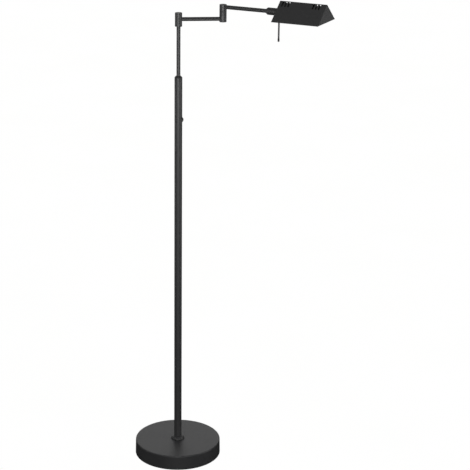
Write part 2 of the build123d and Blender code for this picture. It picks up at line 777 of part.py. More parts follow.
with BuildPart() as swivel_socket:
    with BuildSketch(upper_arm_plane.offset(socket_start)):
        Circle(socket_cone_radius)
    with BuildSketch(upper_arm_plane.offset(socket_start + socket_cone_length)):
        Circle(knuckle_radius)
    loft()
    with BuildSketch(upper_arm_plane.offset(socket_start + socket_cone_length)):
        Circle(knuckle_radius)
    extrude(amount=end_plate_face - socket_start - socket_cone_length)
    with BuildSketch(upper_arm_plane.offset(socket_start)):
        Circle(arm_radius + running_clearance)
    extrude(amount=socket_arm_depth, mode=Mode.SUBTRACT)
    with BuildSketch(upper_arm_plane.offset(socket_wall_start)):
        Circle(spindle_radius + running_clearance)
    extrude(amount=socket_wall_thickness, mode=Mode.SUBTRACT)
    with BuildSketch(upper_arm_plane.offset(socket_wall_end)):
        Circle(cavity_radius)
    extrude(amount=end_plate_face - socket_wall_end, mode=Mode.SUBTRACT)
    rod_hole_origin = (elbow_x + rod_place, elbow_y, upper_arm_height)
    with BuildSketch(Plane(rod_hole_origin, (1, 0, 0), (0, 0, -1))):
        Circle(rod_thread_radius + press_clearance)
    extrude(amount=knuckle_radius + 1, mode=Mode.SUBTRACT)
swivel_socket.part.label = "swivel_socket"
export_step(swivel_socket.part, "parts/swivel_socket.step")

nipple_radius = cavity_radius - press_clearance
head_nipple = ring(
    upper_arm_plane.offset(nipple_start), nipple_radius, nipple_bore_radius, nipple_stop - nipple_start
)
head_nipple.part.label = "head_nipple"
export_step(head_nipple.part, "parts/head_nipple.step")

nipple_nut = hexagon_nut(
    upper_arm_plane.offset(nut_face), nipple_nut_flats, cavity_radius, nipple_nut_height
)
nipple_nut.part.label = "nipple_nut"
export_step(nipple_nut.part, "parts/nipple_nut.step")


# Corners of the tent section, moved in from the outer faces and cut off at a depth below the arm.
def tent_corners(inward, depth):
    apex = shade_ridge_above_arm - inward * face_stretch
    half_width = (apex + depth) / face_slope
    return [(-half_width, -depth), (half_width, -depth), (0, apex)]


with BuildPart() as shade:
    with BuildSketch(upper_arm_plane.offset(shade_start)) as shade_section:
        Polygon(*tent_corners(0, shade_drop_below_arm), align=None)
        fillet(shade_section.vertices().sort_by(Axis.Y)[-1], ridge_radius)
        with BuildSketch(mode=Mode.SUBTRACT) as shade_hollow:
            Polygon(*tent_corners(sheet, shade_drop_below_arm + sheet), align=None)
            fillet(shade_hollow.vertices().sort_by(Axis.Y)[-1], ridge_radius - sheet)
    extrude(amount=shade_length)
    ridge_height = upper_arm_height + shade_ridge_above_arm
    # Both faces carry the same two groups of slots, counted from the left as each is seen from outside.
    group_span = (slots_in_group - 1) * slot_pitch
    for side in (-1, 1):
        left_end = shade_start if side < 0 else shade_end
        group_starts = [first_slot_left, shade_length - first_slot_right - group_span]
        normal = (0, side * sin(radians(face_angle)), cos(radians(face_angle)))
        with BuildSketch(Plane((0, elbow_y, ridge_height), (1, 0, 0), normal)):
            for group_start in group_starts:
                for slot in range(slots_in_group):
                    slot_place = elbow_x + left_end - side * (group_start + slot * slot_pitch)
                    slot_middle = side * (slot_from_ridge + slot_length / 2)
                    with Locations((slot_place, slot_middle)):
                        SlotOverall(slot_length, slot_width, rotation=90)
        extrude(amount=2 * sheet, both=True, mode=Mode.SUBTRACT)
shade.part.label = "shade"
export_step(shade.part, "parts/shade.step")

plate_corners = tent_corners(sheet + press_clearance, shade_drop_below_arm)
with BuildPart() as shade_end_inner:
    with BuildSketch(upper_arm_plane.offset(end_plate_face)) as inner_plate_section:
        Polygon(*plate_corners, align=None)
        fillet(inner_plate_section.vertices().sort_by(Axis.Y)[-1], ridge_radius)
        Circle(cavity_radius, mode=Mode.SUBTRACT)
    extrude(amount=sheet)
shade_end_inner.part.label = "shade_end_inner"
export_step(shade_end_inner.part, "parts/shade_end_inner.step")

with BuildPart() as shade_end_outer:
    with BuildSketch(upper_arm_plane.offset(outer_plate_face - sheet)) as outer_plate_section:
        Polygon(*plate_corners, align=None)
        fillet(outer_plate_section.vertices().sort_by(Axis.Y)[-1], ridge_radius)
    extrude(amount=sheet)
shade_end_outer.part.label = "shade_end_outer"
export_step(shade_end_outer.part, "parts/shade_end_outer.step")


# The reflector is a smaller tent with a flat crown, open below.
def reflector_corners(inward, depth):
    low_left, low_right, apex = tent_corners(sheet + reflector_gap + inward, depth)
    crown_height = apex[1] - reflector_top_half_width * face_slope
    return [
        low_left,
        low_right,
        (reflector_top_half_width, crown_height),
        (-reflector_top_half_width, crown_height),
    ]


reflector_depth = shade_drop_below_arm - reflector_hem
with BuildPart() as reflector:
    with BuildSketch(upper_arm_plane.offset(bracket_face)):
        Polygon(*reflector_corners(0, reflector_depth), align=None)
        Polygon(
            *reflector_corners(reflector_sheet, reflector_depth + sheet),
            align=None,
            mode=Mode.SUBTRACT,
        )
    extrude(amount=outer_plate_face - sheet - bracket_face)
reflector.part.label = "reflector"
export_step(reflector.part, "parts/reflector.step")

with BuildPart() as holder_bracket:
    with BuildSketch(upper_arm_plane.offset(bracket_face)):
        with Locations((0, (bracket_tab_height + bracket_sheet - bracket_foot_drop) / 2)):
            bracket_foot_height = bracket_tab_height + bracket_sheet + bracket_foot_drop
            Rectangle(2 * bracket_half_width, bracket_foot_height)
        Circle(cavity_radius, mode=Mode.SUBTRACT)
    extrude(amount=bracket_sheet)
    with BuildSketch(upper_arm_plane.offset(nut_face)):
        with Locations((0, bracket_tab_height + bracket_sheet / 2)):
            Rectangle(2 * holder_half_width, bracket_sheet)
    extrude(amount=bracket_tab_length)
    screw_row = elbow_x + holder_start + holder_length / 2
    with BuildSketch(Plane.XY.offset(upper_arm_height + bracket_tab_height)):
        with Locations((screw_row, elbow_y)):
            with GridLocations(holder_screw_pitch, 0, 2, 1):
                Circle(holder_screw_radius + thread_clearance)
    extrude(amount=bracket_sheet, mode=Mode.SUBTRACT)
holder_bracket.part.label = "holder_bracket"
export_step(holder_bracket.part, "parts/holder_bracket.step")

with BuildPart() as lamp_holder:
    with BuildSketch(upper_arm_plane.offset(holder_start)) as holder_section:
        with Locations((0, bracket_tab_height - holder_depth / 2)):
            RectangleRounded(2 * holder_half_width, holder_depth, holder_edge)
    extrude(amount=holder_length)
    with BuildSketch(upper_arm_plane.offset(bulb_cap_start)):
        Rectangle(
            2 * (bulb_cap_half_width + thread_clearance), 2 * (bulb_cap_half_height + thread_clearance)
        )
    extrude(amount=bulb_socket_depth, mode=Mode.SUBTRACT)
    with BuildSketch(Plane.XY.offset(upper_arm_height + bracket_tab_height)):
        with Locations((screw_row, elbow_y)):
            with GridLocations(holder_screw_pitch, 0, 2, 1):
                Circle(holder_screw_radius + thread_clearance)
    extrude(amount=-holder_screw_depth, mode=Mode.SUBTRACT)
lamp_holder.part.label = "lamp_holder"
export_step(lamp_holder.part, "parts/lamp_holder.step")

with BuildPart() as holder_screws:
    screw_seat = upper_arm_height + bracket_tab_height + bracket_sheet
    with BuildSketch(Plane.XY.offset(screw_seat)):
        with Locations((screw_row, elbow_y)):
            with GridLocations(holder_screw_pitch, 0, 2, 1):
                Circle(holder_screw_head_radius)
    extrude(amount=holder_screw_head_height)
    with BuildSketch(Plane.XY.offset(screw_seat)):
        with Locations((screw_row, elbow_y)):
            with GridLocations(holder_screw_pitch, 0, 2, 1):
                Circle(holder_screw_radius)
    extrude(amount=-(bracket_sheet + holder_screw_depth - thread_clearance))
holder_screws.part.label = "holder_screws"
export_step(holder_screws.part, "parts/holder_screws.step")

with BuildPart() as bulb_cap:
    with BuildSketch(upper_arm_plane.offset(bulb_cap_start)):
        Rectangle(2 * bulb_cap_half_width, 2 * bulb_cap_half_height)
    extrude(amount=bulb_cap_length)
bulb_cap.part.label = "bulb_cap"
export_step(bulb_cap.part, "parts/bulb_cap.step")

with BuildPart() as bulb:
    with BuildSketch(upper_arm_plane.offset(bulb_start)):
        Circle(bulb_radius)
    extrude(amount=bulb_length)
    fillet(bulb.faces().sort_by(Axis.X)[-1].edges(), bulb_tip_edge)
    fillet(bulb.faces().sort_by(Axis.X)[0].edges(), bulb_foot_edge)
bulb.part.label = "bulb"
export_step(bulb.part, "parts/bulb.step")

# Tilt handle

rod_neck_bottom = upper_arm_height - knuckle_radius - rod_neck_length
rod_bottom = upper_arm_height - rod_reach
with BuildPart() as tilt_rod:
    rod_plane = Plane((elbow_x + rod_place, elbow_y, 0))
    with BuildSketch(rod_plane.offset(rod_bottom + tip_length - tip_cover)):
        Circle(rod_radius)
    extrude(amount=rod_neck_bottom - rod_bottom - tip_length + tip_cover)
    with BuildSketch(rod_plane.offset(rod_neck_bottom)):
        Circle(rod_thread_radius)
    extrude(amount=rod_neck_length + knuckle_wall - rod_thread_gap)
tilt_rod.part.label = "tilt_rod"
export_step(tilt_rod.part, "parts/tilt_rod.step")

with BuildPart() as rod_tip:
    with BuildSketch(rod_plane.offset(rod_bottom)):
        Circle(tip_radius)
    extrude(amount=tip_length)
    fillet(rod_tip.edges().group_by(Axis.Z)[0], tip_edge)
    with BuildSketch(rod_plane.offset(rod_bottom + tip_length - tip_cover)):
        Circle(rod_radius)
    extrude(amount=tip_cover, mode=Mode.SUBTRACT)
rod_tip.part.label = "rod_tip"
export_step(rod_tip.part, "parts/rod_tip.step")

# Leads held inside the lamp


# A round lead swept along a path from its first point.
def lead_along(path_points, bend_radii, lead_radius):
    with BuildPart() as piece:
        with BuildLine() as route:
            FilletPolyline(*path_points, radius=bend_radii)
        with BuildSketch(Plane(route.line @ 0, z_dir=route.line % 0)):
            Circle(lead_radius)
        sweep()
    return piece


pole_lead_top = cover_height + (pole_section_count - 1) * pole_section_length - coupler_length
pole_lead_points = [
    (-inlet_lip_inner + lead_gap, 0, inlet_height),
    (0, 0, inlet_height),
    (0, 0, pole_lead_top),
]
pole_lead = lead_along(pole_lead_points, [mains_lead_bend], mains_lead_radius)
pole_lead.part.label = "pole_lead"
export_step(pole_lead.part, "parts/pole_lead.step")

mast_lead_end = spindle_top
with BuildPart() as mast_lead:
    with BuildSketch(Plane.XY.offset(mast_bottom)):
        Circle(fine_lead_radius)
    extrude(amount=mast_lead_end - mast_bottom)
mast_lead.part.label = "mast_lead"
export_step(mast_lead.part, "parts/mast_lead.step")

lower_arm_lead_points = [
    (0, 0, mast_lead_end + lead_gap),
    (0, 0, lower_arm_height),
    (elbow_x, elbow_y, lower_arm_height),
    (elbow_x, elbow_y, elbow_spindle_bottom - lead_gap),
]
lower_arm_lead = lead_along(lower_arm_lead_points, [lead_bend, lead_bend], fine_lead_radius)
lower_arm_lead.part.label = "lower_arm_lead"
export_step(lower_arm_lead.part, "parts/lower_arm_lead.step")

upper_arm_lead_points = [
    (elbow_x, elbow_y, elbow_spindle_bottom),
    (elbow_x, elbow_y, upper_arm_height),
    (elbow_x + spigot_end, elbow_y, upper_arm_height),
]
upper_arm_lead = lead_along(upper_arm_lead_points, [lead_bend], fine_lead_radius)
upper_arm_lead.part.label = "upper_arm_lead"
export_step(upper_arm_lead.part, "parts/upper_arm_lead.step")

with BuildPart() as head_lead:
    with BuildSketch(upper_arm_plane.offset(spigot_end + lead_gap)):
        Circle(fine_lead_radius)
    extrude(amount=holder_start - spigot_end - lead_gap)
head_lead.part.label = "head_lead"
export_step(head_lead.part, "parts/head_lead.step")
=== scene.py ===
import bmesh
import bpy
import json
import numpy as np
from math import atan2, cos, pi, radians, sin, sqrt, tan
from mathutils import Matrix, Vector


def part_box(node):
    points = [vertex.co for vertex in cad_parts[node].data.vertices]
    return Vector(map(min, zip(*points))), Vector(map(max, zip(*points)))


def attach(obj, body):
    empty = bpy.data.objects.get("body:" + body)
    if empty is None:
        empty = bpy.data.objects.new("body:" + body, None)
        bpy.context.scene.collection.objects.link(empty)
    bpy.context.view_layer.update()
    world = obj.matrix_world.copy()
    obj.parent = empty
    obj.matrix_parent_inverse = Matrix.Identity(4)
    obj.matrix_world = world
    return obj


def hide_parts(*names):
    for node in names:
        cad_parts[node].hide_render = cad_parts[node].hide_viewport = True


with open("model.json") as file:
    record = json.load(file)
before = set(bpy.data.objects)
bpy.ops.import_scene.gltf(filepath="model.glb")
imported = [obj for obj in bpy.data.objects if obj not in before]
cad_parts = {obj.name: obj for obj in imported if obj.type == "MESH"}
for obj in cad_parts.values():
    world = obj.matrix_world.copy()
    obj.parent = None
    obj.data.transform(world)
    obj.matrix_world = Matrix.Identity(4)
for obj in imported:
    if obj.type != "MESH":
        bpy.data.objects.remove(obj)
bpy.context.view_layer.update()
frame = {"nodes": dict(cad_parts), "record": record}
nodes = frame["nodes"]
mm = 0.001
print("frame loaded:", len(nodes), "nodes")


# Camera, floor and light

camera = {
    "place": (1.843, -3.675, 2.063),
    "heading": 24.35,   # degrees from +Y towards -X
    "down": 18.47,
    "roll": 0.82,
    "lens": 115.1,
}


def makeCamera(spec):
    data = bpy.data.cameras.new("camera")
    data.lens = spec["lens"]
    data.sensor_width = 36.0
    data.clip_end = 60.0
    cameraObject = bpy.data.objects.new("camera", data)
    turn = (
        Matrix.Rotation(radians(spec["heading"]), 4, "Z")
        @ Matrix.Rotation(radians(90.0 - spec["down"]), 4, "X")
        @ Matrix.Rotation(radians(spec["roll"]), 4, "Z")
    )
    cameraObject.matrix_world = Matrix.Translation(spec["place"]) @ turn
    bpy.context.scene.collection.objects.link(cameraObject)
    bpy.context.scene.camera = cameraObject


makeCamera(camera)

studio = {
    "worldGrey": 0.02,
    "white": (1.0, 1.0, 1.0),
    "secondWhite": (0.995, 0.995, 0.99),
    "floorDrop": 0.3 * mm,
    "floorGlow": 1.0,
    "domeRadius": 20.0,
    "domeGlow": 1.0,
    # place, aim, width, height, watts
    "softboxes": {
        "topBox": ((0.0, 0.0, 3.6), (0.0, 0.0, 0.0), 2.4, 2.4, 6.6),
        "upperLeftBox": ((-0.8, -1.95, 2.5), (0.15, 0.05, 1.35), 1.2, 0.8, 4.6),
        "lowBox": ((1.95, -3.9, 0.68), (0.1, 0.0, 1.0), 3.2, 0.8, 56.0),
        "nearBox": ((0.4, -1.28, 1.07), (0.03, 0.0, 1.25), 1.7, 0.35, 9.4),
        "leftBox": ((-2.7, -1.2, 0.9), (0.0, 0.0, 0.5), 1.6, 1.8, 13.0),
        "rightBox": ((2.9, 0.6, 1.2), (0.0, 0.0, 0.7), 1.4, 2.4, 30.0),
        "endBox": ((1.15, 2.0, 1.0), (0.4, 0.06, 1.35), 0.9, 0.9, 1.0),
        "backBox": ((-1.15, 2.3, 1.3), (0.0, 0.0, 0.6), 4.2, 2.4, 26.0),
        "behindBox": ((-1.0, 2.0, 3.0), (0.0, 0.0, 0.6), 1.6, 1.6, 2.0),
    },
}


# Mesh making

# Quads that join each point of a grid to the next along both parameters.
# A wrapped parameter also joins its last row to its first.
def gridQuads(rows, columns, wrapRows=False, wrapColumns=False):
    row = np.arange(rows if wrapRows else rows - 1)[:, None]
    column = np.arange(columns if wrapColumns else columns - 1)[None, :]
    nextRow, nextColumn = (row + 1) % rows, (column + 1) % columns
    corners = [
        row * columns + column,
        row * columns + nextColumn,
        nextRow * columns + nextColumn,
        nextRow * columns + column,
    ]
    return np.stack(np.broadcast_arrays(*corners), -1).reshape(-1, 4)


# Makes a mesh object from points and faces, closes its seams and poles, and turns its faces outwards.
def makeObject(name, points, faces, turnOut=True):
    mesh = bpy.data.meshes.new(name)
    faces = faces.tolist() if isinstance(faces, np.ndarray) else faces
    mesh.from_pydata(np.asarray(points, float).reshape(-1, 3).tolist(), [], faces)
    editor = bmesh.new()
    editor.from_mesh(mesh)
    bmesh.ops.remove_doubles(editor, verts=editor.verts, dist=2e-6)
    if turnOut:
        bmesh.ops.recalc_face_normals(editor, faces=editor.faces)
    editor.to_mesh(mesh)
    editor.free()
    piece = bpy.data.objects.new(name, mesh)
    bpy.context.scene.collection.objects.link(piece)
    return smoothed(piece)


def smoothed(piece, sharpAngle=38.0):
    piece.data.shade_smooth()
    piece.data.set_sharp_from_angle(angle=radians(sharpAngle))
    return piece


def middle(nodeName):
    low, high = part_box(nodeName)
    return Vector([(a + b) / 2 for a, b in zip(low, high)])


def halfHeight(nodeName):
    low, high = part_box(nodeName)
    return (high.z - low.z) / 2


# Replaces a piece's mesh with what its modifiers make of it.
def applyModifiers(piece):
    rough = piece.data
    seen = piece.evaluated_get(bpy.context.evaluated_depsgraph_get())
    piece.data = bpy.data.meshes.new_from_object(seen)
    piece.data.name = piece.name
    piece.modifiers.clear()
    bpy.data.meshes.remove(rough)


# Cuts holes through a piece with closed shapes, which are then thrown away.
def cutAway(piece, cutters):
    for cutter in cutters:
        cut = piece.modifiers.new("hole", "BOOLEAN")
        cut.operation = "DIFFERENCE"
        cut.solver = "EXACT"
        cut.object = cutter
    applyModifiers(piece)
    for cutter in cutters:
        bpy.data.objects.remove(cutter)
    smoothed(piece)


# Rounds the sharp edges of a piece, with shading that stays flat on its flat faces.
def roundEdges(piece, width, segments=3, angle=32.0):
    edges = piece.modifiers.new("edges", "BEVEL")
    edges.width = width
    edges.segments = segments
    edges.limit_method = "ANGLE"
    edges.angle_limit = radians(angle)
    applyModifiers(piece)
    smoothed(piece)
    weigh = piece.modifiers.new("weigh", "WEIGHTED_NORMAL")
    weigh.keep_sharp = True
    applyModifiers(piece)


# Marks each point with how tightly its faces bend there: 0 on a gentle curve, 1 on a rounded edge, which is
# where the coat gets its painted highlight.
# The bend of an edge is the angle between its two faces over the distance between their centres.
def markEdges(piece, gentle=250.0, tight=550.0):
    mesh = piece.data
    loopEdges = np.empty(len(mesh.loops), int)
    mesh.loops.foreach_get("edge_index", loopEdges)
    sides = np.empty(len(mesh.polygons), int)
    mesh.polygons.foreach_get("loop_total", sides)
    normals = np.empty(len(mesh.polygons) * 3)
    mesh.polygons.foreach_get("normal", normals)
    centres = np.empty(len(mesh.polygons) * 3)
    mesh.polygons.foreach_get("center", centres)
    ends = np.empty(len(mesh.edges) * 2, int)
    mesh.edges.foreach_get("vertices", ends)
    normals, centres, ends = normals.reshape(-1, 3), centres.reshape(-1, 3), ends.reshape(-1, 2)
    loopFaces = np.repeat(np.arange(len(sides)), sides)
    order = np.argsort(loopEdges, kind="stable")
    counts = np.bincount(loopEdges, minlength=len(ends))
    firsts = np.concatenate([[0], np.cumsum(counts)[:-1]])
    shared = np.flatnonzero(counts == 2)
    one, two = loopFaces[order[firsts[shared]]], loopFaces[order[firsts[shared] + 1]]
    angle = np.arccos(np.clip((normals[one] * normals[two]).sum(-1), -1, 1))
    bend = angle / np.maximum(np.linalg.norm(centres[one] - centres[two], axis=-1), 1e-5)
    amount = np.clip((bend - gentle) / (tight - gentle), 0, 1)
    # This mark is the mask of the painted edge highlight.
    highlightMask = np.zeros(len(mesh.vertices), np.float32)
    np.maximum.at(highlightMask, ends[shared].ravel(), np.repeat(amount, 2))
    mesh.attributes.new("paintedEdgeHighlight", "FLOAT", "POINT").data.foreach_set("value", highlightMask)


# Gives a piece its body, its finish and the CAD nodes that it stands for.
def dress(piece, body, slotName, replaced=(), finish=None):
    piece.data.materials.clear()
    piece.data.materials.append(finish or finishes[slotName])
    markEdges(piece)
    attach(piece, body)
    if replaced:
        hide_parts(*replaced)
    return piece


# A line of corners (across, along, radius), each rounded by an arc of its radius.
# An arc gets a guard point just outside each end, so that the flat stretches shade flat.
def roundedLine(corners, closed=True, arcSteps=6):
    places = np.array([corner[:2] for corner in corners], float)
    points = []
    for index, corner in enumerate(corners):
        here, radius = places[index], corner[2]
        if radius <= 0 or (not closed and index in (0, len(corners) - 1)):
            points.append(here)
            continue
        back = places[index - 1] - here
        ahead = places[(index + 1) % len(corners)] - here
        backLength, aheadLength = np.linalg.norm(back), np.linalg.norm(ahead)
        back, ahead = back / backLength, ahead / aheadLength
        halfAngle = np.arccos(np.clip(back @ ahead, -1, 1)) / 2
        reach = radius / np.tan(halfAngle)
        centre = here + (back + ahead) / np.linalg.norm(back + ahead) * radius / np.sin(halfAngle)
        first, last = here + back * reach - centre, here + ahead * reach - centre
        turn = np.arctan2(first[0] * last[1] - first[1] * last[0], first @ last)
        angles = np.linspace(0, turn, arcSteps + 1)
        arcX = first[0] * np.cos(angles) - first[1] * np.sin(angles)
        arcY = first[0] * np.sin(angles) + first[1] * np.cos(angles)
        guard = reach * 1.3 + 0.02 * mm
        if guard < backLength * 0.5:
            points.append(here + back * guard)
        points.extend(centre + np.stack([arcX, arcY], -1))
        if guard < aheadLength * 0.5:
            points.append(here + ahead * guard)
    return np.array(points)


# Turns a line of (radius, height) round an axis:
# point = foot + radius (cos t side + sin t across) + height axis, with t from 0 to a full turn.
def turned(name, line, foot, axis=(0, 0, 1), closed=True, around=96):
    line = np.asarray(line, float)
    axis = np.array(Vector(axis).normalized())
    side = np.array(Vector(axis).orthogonal().normalized())
    across = np.cross(axis, side)
    t = np.linspace(0, 2 * pi, around, endpoint=False)
    direction = np.cos(t)[:, None] * side + np.sin(t)[:, None] * across
    points = np.array(foot) + line[:, 0, None, None] * direction + line[:, 1, None, None] * axis
    return makeObject(name, points, gridQuads(len(line), around, closed, True))


# A closed outline of (across, along), carried along a normal from one height to another:
# point = foot + across a + along b + height n, with n square to a and b.
def prism(name, outline, foot, acrossAxis, alongAxis, start, end):
    across, along = np.array(acrossAxis, float), np.array(alongAxis, float)
    normal = np.cross(across, along)
    flat = np.array(foot) + outline[:, 0, None] * across + outline[:, 1, None] * along
    points = np.stack([flat + start * normal, flat + end * normal])
    count = len(outline)
    faces = gridQuads(2, count, False, True).tolist()
    return makeObject(name, points, faces + [list(range(count)), list(range(count, 2 * count))])


def rodShape(foot, axis, radius, length):
    return turned("cutter", [(0, 0), (radius, 0), (radius, length), (0, length)], foot, axis, False, 64)


# A copy of a CAD node with its edges rounded, after its flat faces are made whole.
def softened(nodeName, pieceName, width, mergeGap=5e-6, flatAngle=2.0):
    piece = bpy.data.objects.new(pieceName, nodes[nodeName].data.copy())
    bpy.context.scene.collection.objects.link(piece)
    editor = bmesh.new()
    editor.from_mesh(piece.data)
    bmesh.ops.remove_doubles(editor, verts=editor.verts, dist=mergeGap)
    bmesh.ops.dissolve_limit(
        editor, verts=editor.verts, edges=editor.edges, angle_limit=radians(flatAngle),
    )
    editor.to_mesh(piece.data)
    editor.free()
    roundEdges(piece, width)
    return piece


# Finishes

def newMaterial(name):
    material = bpy.data.materials.new(name)
    material.use_nodes = True
    tree = material.node_tree
    shader = tree.nodes["Principled BSDF"]
    place = tree.nodes.new("ShaderNodeTexCoord")
    return material, tree, shader, place.outputs["Object"]


# Noise of a given feature size in metres, spread to the range low to high.
def noiseValue(tree, place, featureSize, low, high, detail=3.0, roughness=0.5):
    noise = tree.nodes.new("ShaderNodeTexNoise")
    noise.inputs["Scale"].default_value = 1.0 / featureSize
    noise.inputs["Detail"].default_value = detail
    noise.inputs["Roughness"].default_value = roughness
    tree.links.new(place, noise.inputs["Vector"])
    spread = tree.nodes.new("ShaderNodeMapRange")
    spread.inputs["From Min"].default_value = 0.3
    spread.inputs["From Max"].default_value = 0.7
    spread.inputs["To Min"].default_value = low
    spread.inputs["To Max"].default_value = high
    tree.links.new(noise.outputs["Fac"], spread.inputs["Value"])
    return spread.outputs["Result"]


def mixColours(tree, amount, first, second):
    mix = tree.nodes.new("ShaderNodeMix")
    mix.data_type = "RGBA"
    for socket, value in ((mix.inputs[6], first), (mix.inputs[7], second)):
        if isinstance(value, tuple):
            socket.default_value = (*value, 1.0)
        else:
            tree.links.new(value, socket)
    tree.links.new(amount, mix.inputs[0])
    return mix.outputs[2]


def addBump(tree, shader, heights, depth, strength=1.0):
    bump = tree.nodes.new("ShaderNodeBump")
    bump.inputs["Distance"].default_value = depth
    bump.inputs["Strength"].default_value = strength
    tree.links.new(heights, bump.inputs["Height"])
    tree.links.new(bump.outputs["Normal"], shader.inputs["Normal"])


# A sprayed or moulded finish: two close colours in soft patches, a fine skin of bumps,
# uneven roughness, and a painted highlight that makes tightly rounded edges a little brighter.
def coatMaterial(name, spec):
    material, tree, shader, place = newMaterial(name)
    patches = noiseValue(tree, place, spec["patchSize"], 0.0, 1.0, 4.0)
    colour = mixColours(tree, patches, spec["colour"], spec["secondColour"])
    # Painted highlight: tightly rounded edges are mixed towards a lighter colour, in broken patches.
    if "paintedHighlightColour" in spec:
        edge = tree.nodes.new("ShaderNodeAttribute")
        edge.attribute_name = "paintedEdgeHighlight"
        patchyHighlight = noiseValue(tree, place, spec["patchSize"] * 0.2, 0.0, spec["paintedHighlightAmount"])
        paintedHighlight = tree.nodes.new("ShaderNodeMath")
        paintedHighlight.operation = "MULTIPLY"
        tree.links.new(edge.outputs["Fac"], paintedHighlight.inputs[0])
        tree.links.new(patchyHighlight, paintedHighlight.inputs[1])
        colour = mixColours(tree, paintedHighlight.outputs[0], colour, spec["paintedHighlightColour"])
    tree.links.new(colour, shader.inputs["Base Color"])
    rough = noiseValue(tree, place, spec["patchSize"] * 0.35, *spec["roughness"])
    tree.links.new(rough, shader.inputs["Roughness"])
    shader.inputs["Metallic"].default_value = spec.get("metallic", 0.0)
    shader.inputs["Specular IOR Level"].default_value = spec.get("specular", 0.5)
    skin = noiseValue(tree, place, spec["skinSize"], 0.0, 1.0, 2.0)
    addBump(tree, shader, skin, spec["skinDepth"])
    return material


# A turned or drawn metal: fine lines across one direction of the piece.
def lineMetal(name, spec):
    material, tree, shader, place = newMaterial(name)
    stretch = tree.nodes.new("ShaderNodeMapping")
    stretch.inputs["Scale"].default_value = spec["stretch"]
    tree.links.new(place, stretch.inputs["Vector"])
    lines = noiseValue(tree, stretch.outputs["Vector"], spec["lineSize"], 0.0, 1.0, 4.0, 0.6)
    colour = mixColours(tree, lines, spec["colour"], spec["secondColour"])
    tree.links.new(colour, shader.inputs["Base Color"])
    rough = noiseValue(tree, place, 0.012, *spec["roughness"])
    tree.links.new(rough, shader.inputs["Roughness"])
    shader.inputs["Metallic"].default_value = 1.0
    addBump(tree, shader, lines, spec["depth"])
    return material


finishes = {
    "black_coat": coatMaterial("blackPowderCoat", {
        "colour": (0.0300, 0.0302, 0.0312), "secondColour": (0.0325, 0.0326, 0.0335),
        # The lighter edge colour is a painted highlight on the rounded edges.
        "paintedHighlightColour": (0.075, 0.075, 0.078), "paintedHighlightAmount": 0.35,
        "roughness": (0.42, 0.45), "specular": 0.5,
        "patchSize": 0.03, "skinSize": 0.0011, "skinDepth": 0.00003,
    }),
    "black_plastic": coatMaterial("blackPlastic", {
        "colour": (0.020, 0.020, 0.021), "secondColour": (0.026, 0.026, 0.027),
        "roughness": (0.36, 0.46), "patchSize": 0.01, "skinSize": 0.0004, "skinDepth": 0.00002,
    }),
    "black_rubber": coatMaterial("blackRubber", {
        "colour": (0.014, 0.014, 0.015), "secondColour": (0.020, 0.020, 0.020),
        "roughness": (0.62, 0.75), "specular": 0.3,
        "patchSize": 0.008, "skinSize": 0.0005, "skinDepth": 0.00003,
    }),
    "foam_pad": coatMaterial("footFoam", {
        "colour": (0.030, 0.030, 0.031), "secondColour": (0.050, 0.050, 0.050),
        "roughness": (0.85, 0.95), "specular": 0.15,
        "patchSize": 0.02, "skinSize": 0.0009, "skinDepth": 0.0003,
    }),
    "iron_casting": coatMaterial("castIron", {
        "colour": (0.10, 0.095, 0.09), "secondColour": (0.17, 0.16, 0.15), "metallic": 0.7,
        "roughness": (0.6, 0.8), "patchSize": 0.02, "skinSize": 0.0014, "skinDepth": 0.0003,
    }),
    "nylon": coatMaterial("blackNylon", {
        "colour": (0.016, 0.016, 0.017), "secondColour": (0.022, 0.022, 0.022),
        "roughness": (0.4, 0.5), "patchSize": 0.01, "skinSize": 0.0006, "skinDepth": 0.00002,
    }),
    "white_ceramic": coatMaterial("whiteCeramic", {
        "colour": (0.80, 0.78, 0.72), "secondColour": (0.86, 0.85, 0.80),
        "roughness": (0.14, 0.24), "patchSize": 0.01, "skinSize": 0.0012, "skinDepth": 0.00004,
    }),
    "lead_jacket": coatMaterial("leadJacket", {
        "colour": (0.020, 0.020, 0.020), "secondColour": (0.030, 0.030, 0.030),
        "roughness": (0.4, 0.5), "patchSize": 0.02, "skinSize": 0.0006, "skinDepth": 0.00002,
    }),
    "zinc_steel": lineMetal("zincSteel", {
        "colour": (0.52, 0.53, 0.55), "secondColour": (0.68, 0.69, 0.71), "stretch": (1.0, 1.0, 9.0),
        "lineSize": 0.003, "roughness": (0.25, 0.38), "depth": 0.00001,
    }),
    "brass": lineMetal("turnedBrass", {
        "colour": (0.62, 0.47, 0.20), "secondColour": (0.78, 0.62, 0.32), "stretch": (1.0, 1.0, 12.0),
        "lineSize": 0.003, "roughness": (0.22, 0.34), "depth": 0.00001,
    }),
}


def bulbGlass():
    material, tree, shader, place = newMaterial("bulbGlass")
    haze = noiseValue(tree, place, 0.004, 0.22, 0.34)
    tree.links.new(haze, shader.inputs["Roughness"])
    tint = mixColours(tree, noiseValue(tree, place, 0.01, 0.0, 1.0), (0.93, 0.93, 0.91), (0.97, 0.97, 0.95))
    tree.links.new(tint, shader.inputs["Base Color"])
    shader.inputs["Transmission Weight"].default_value = 0.75
    shader.inputs["IOR"].default_value = 1.47
    return material


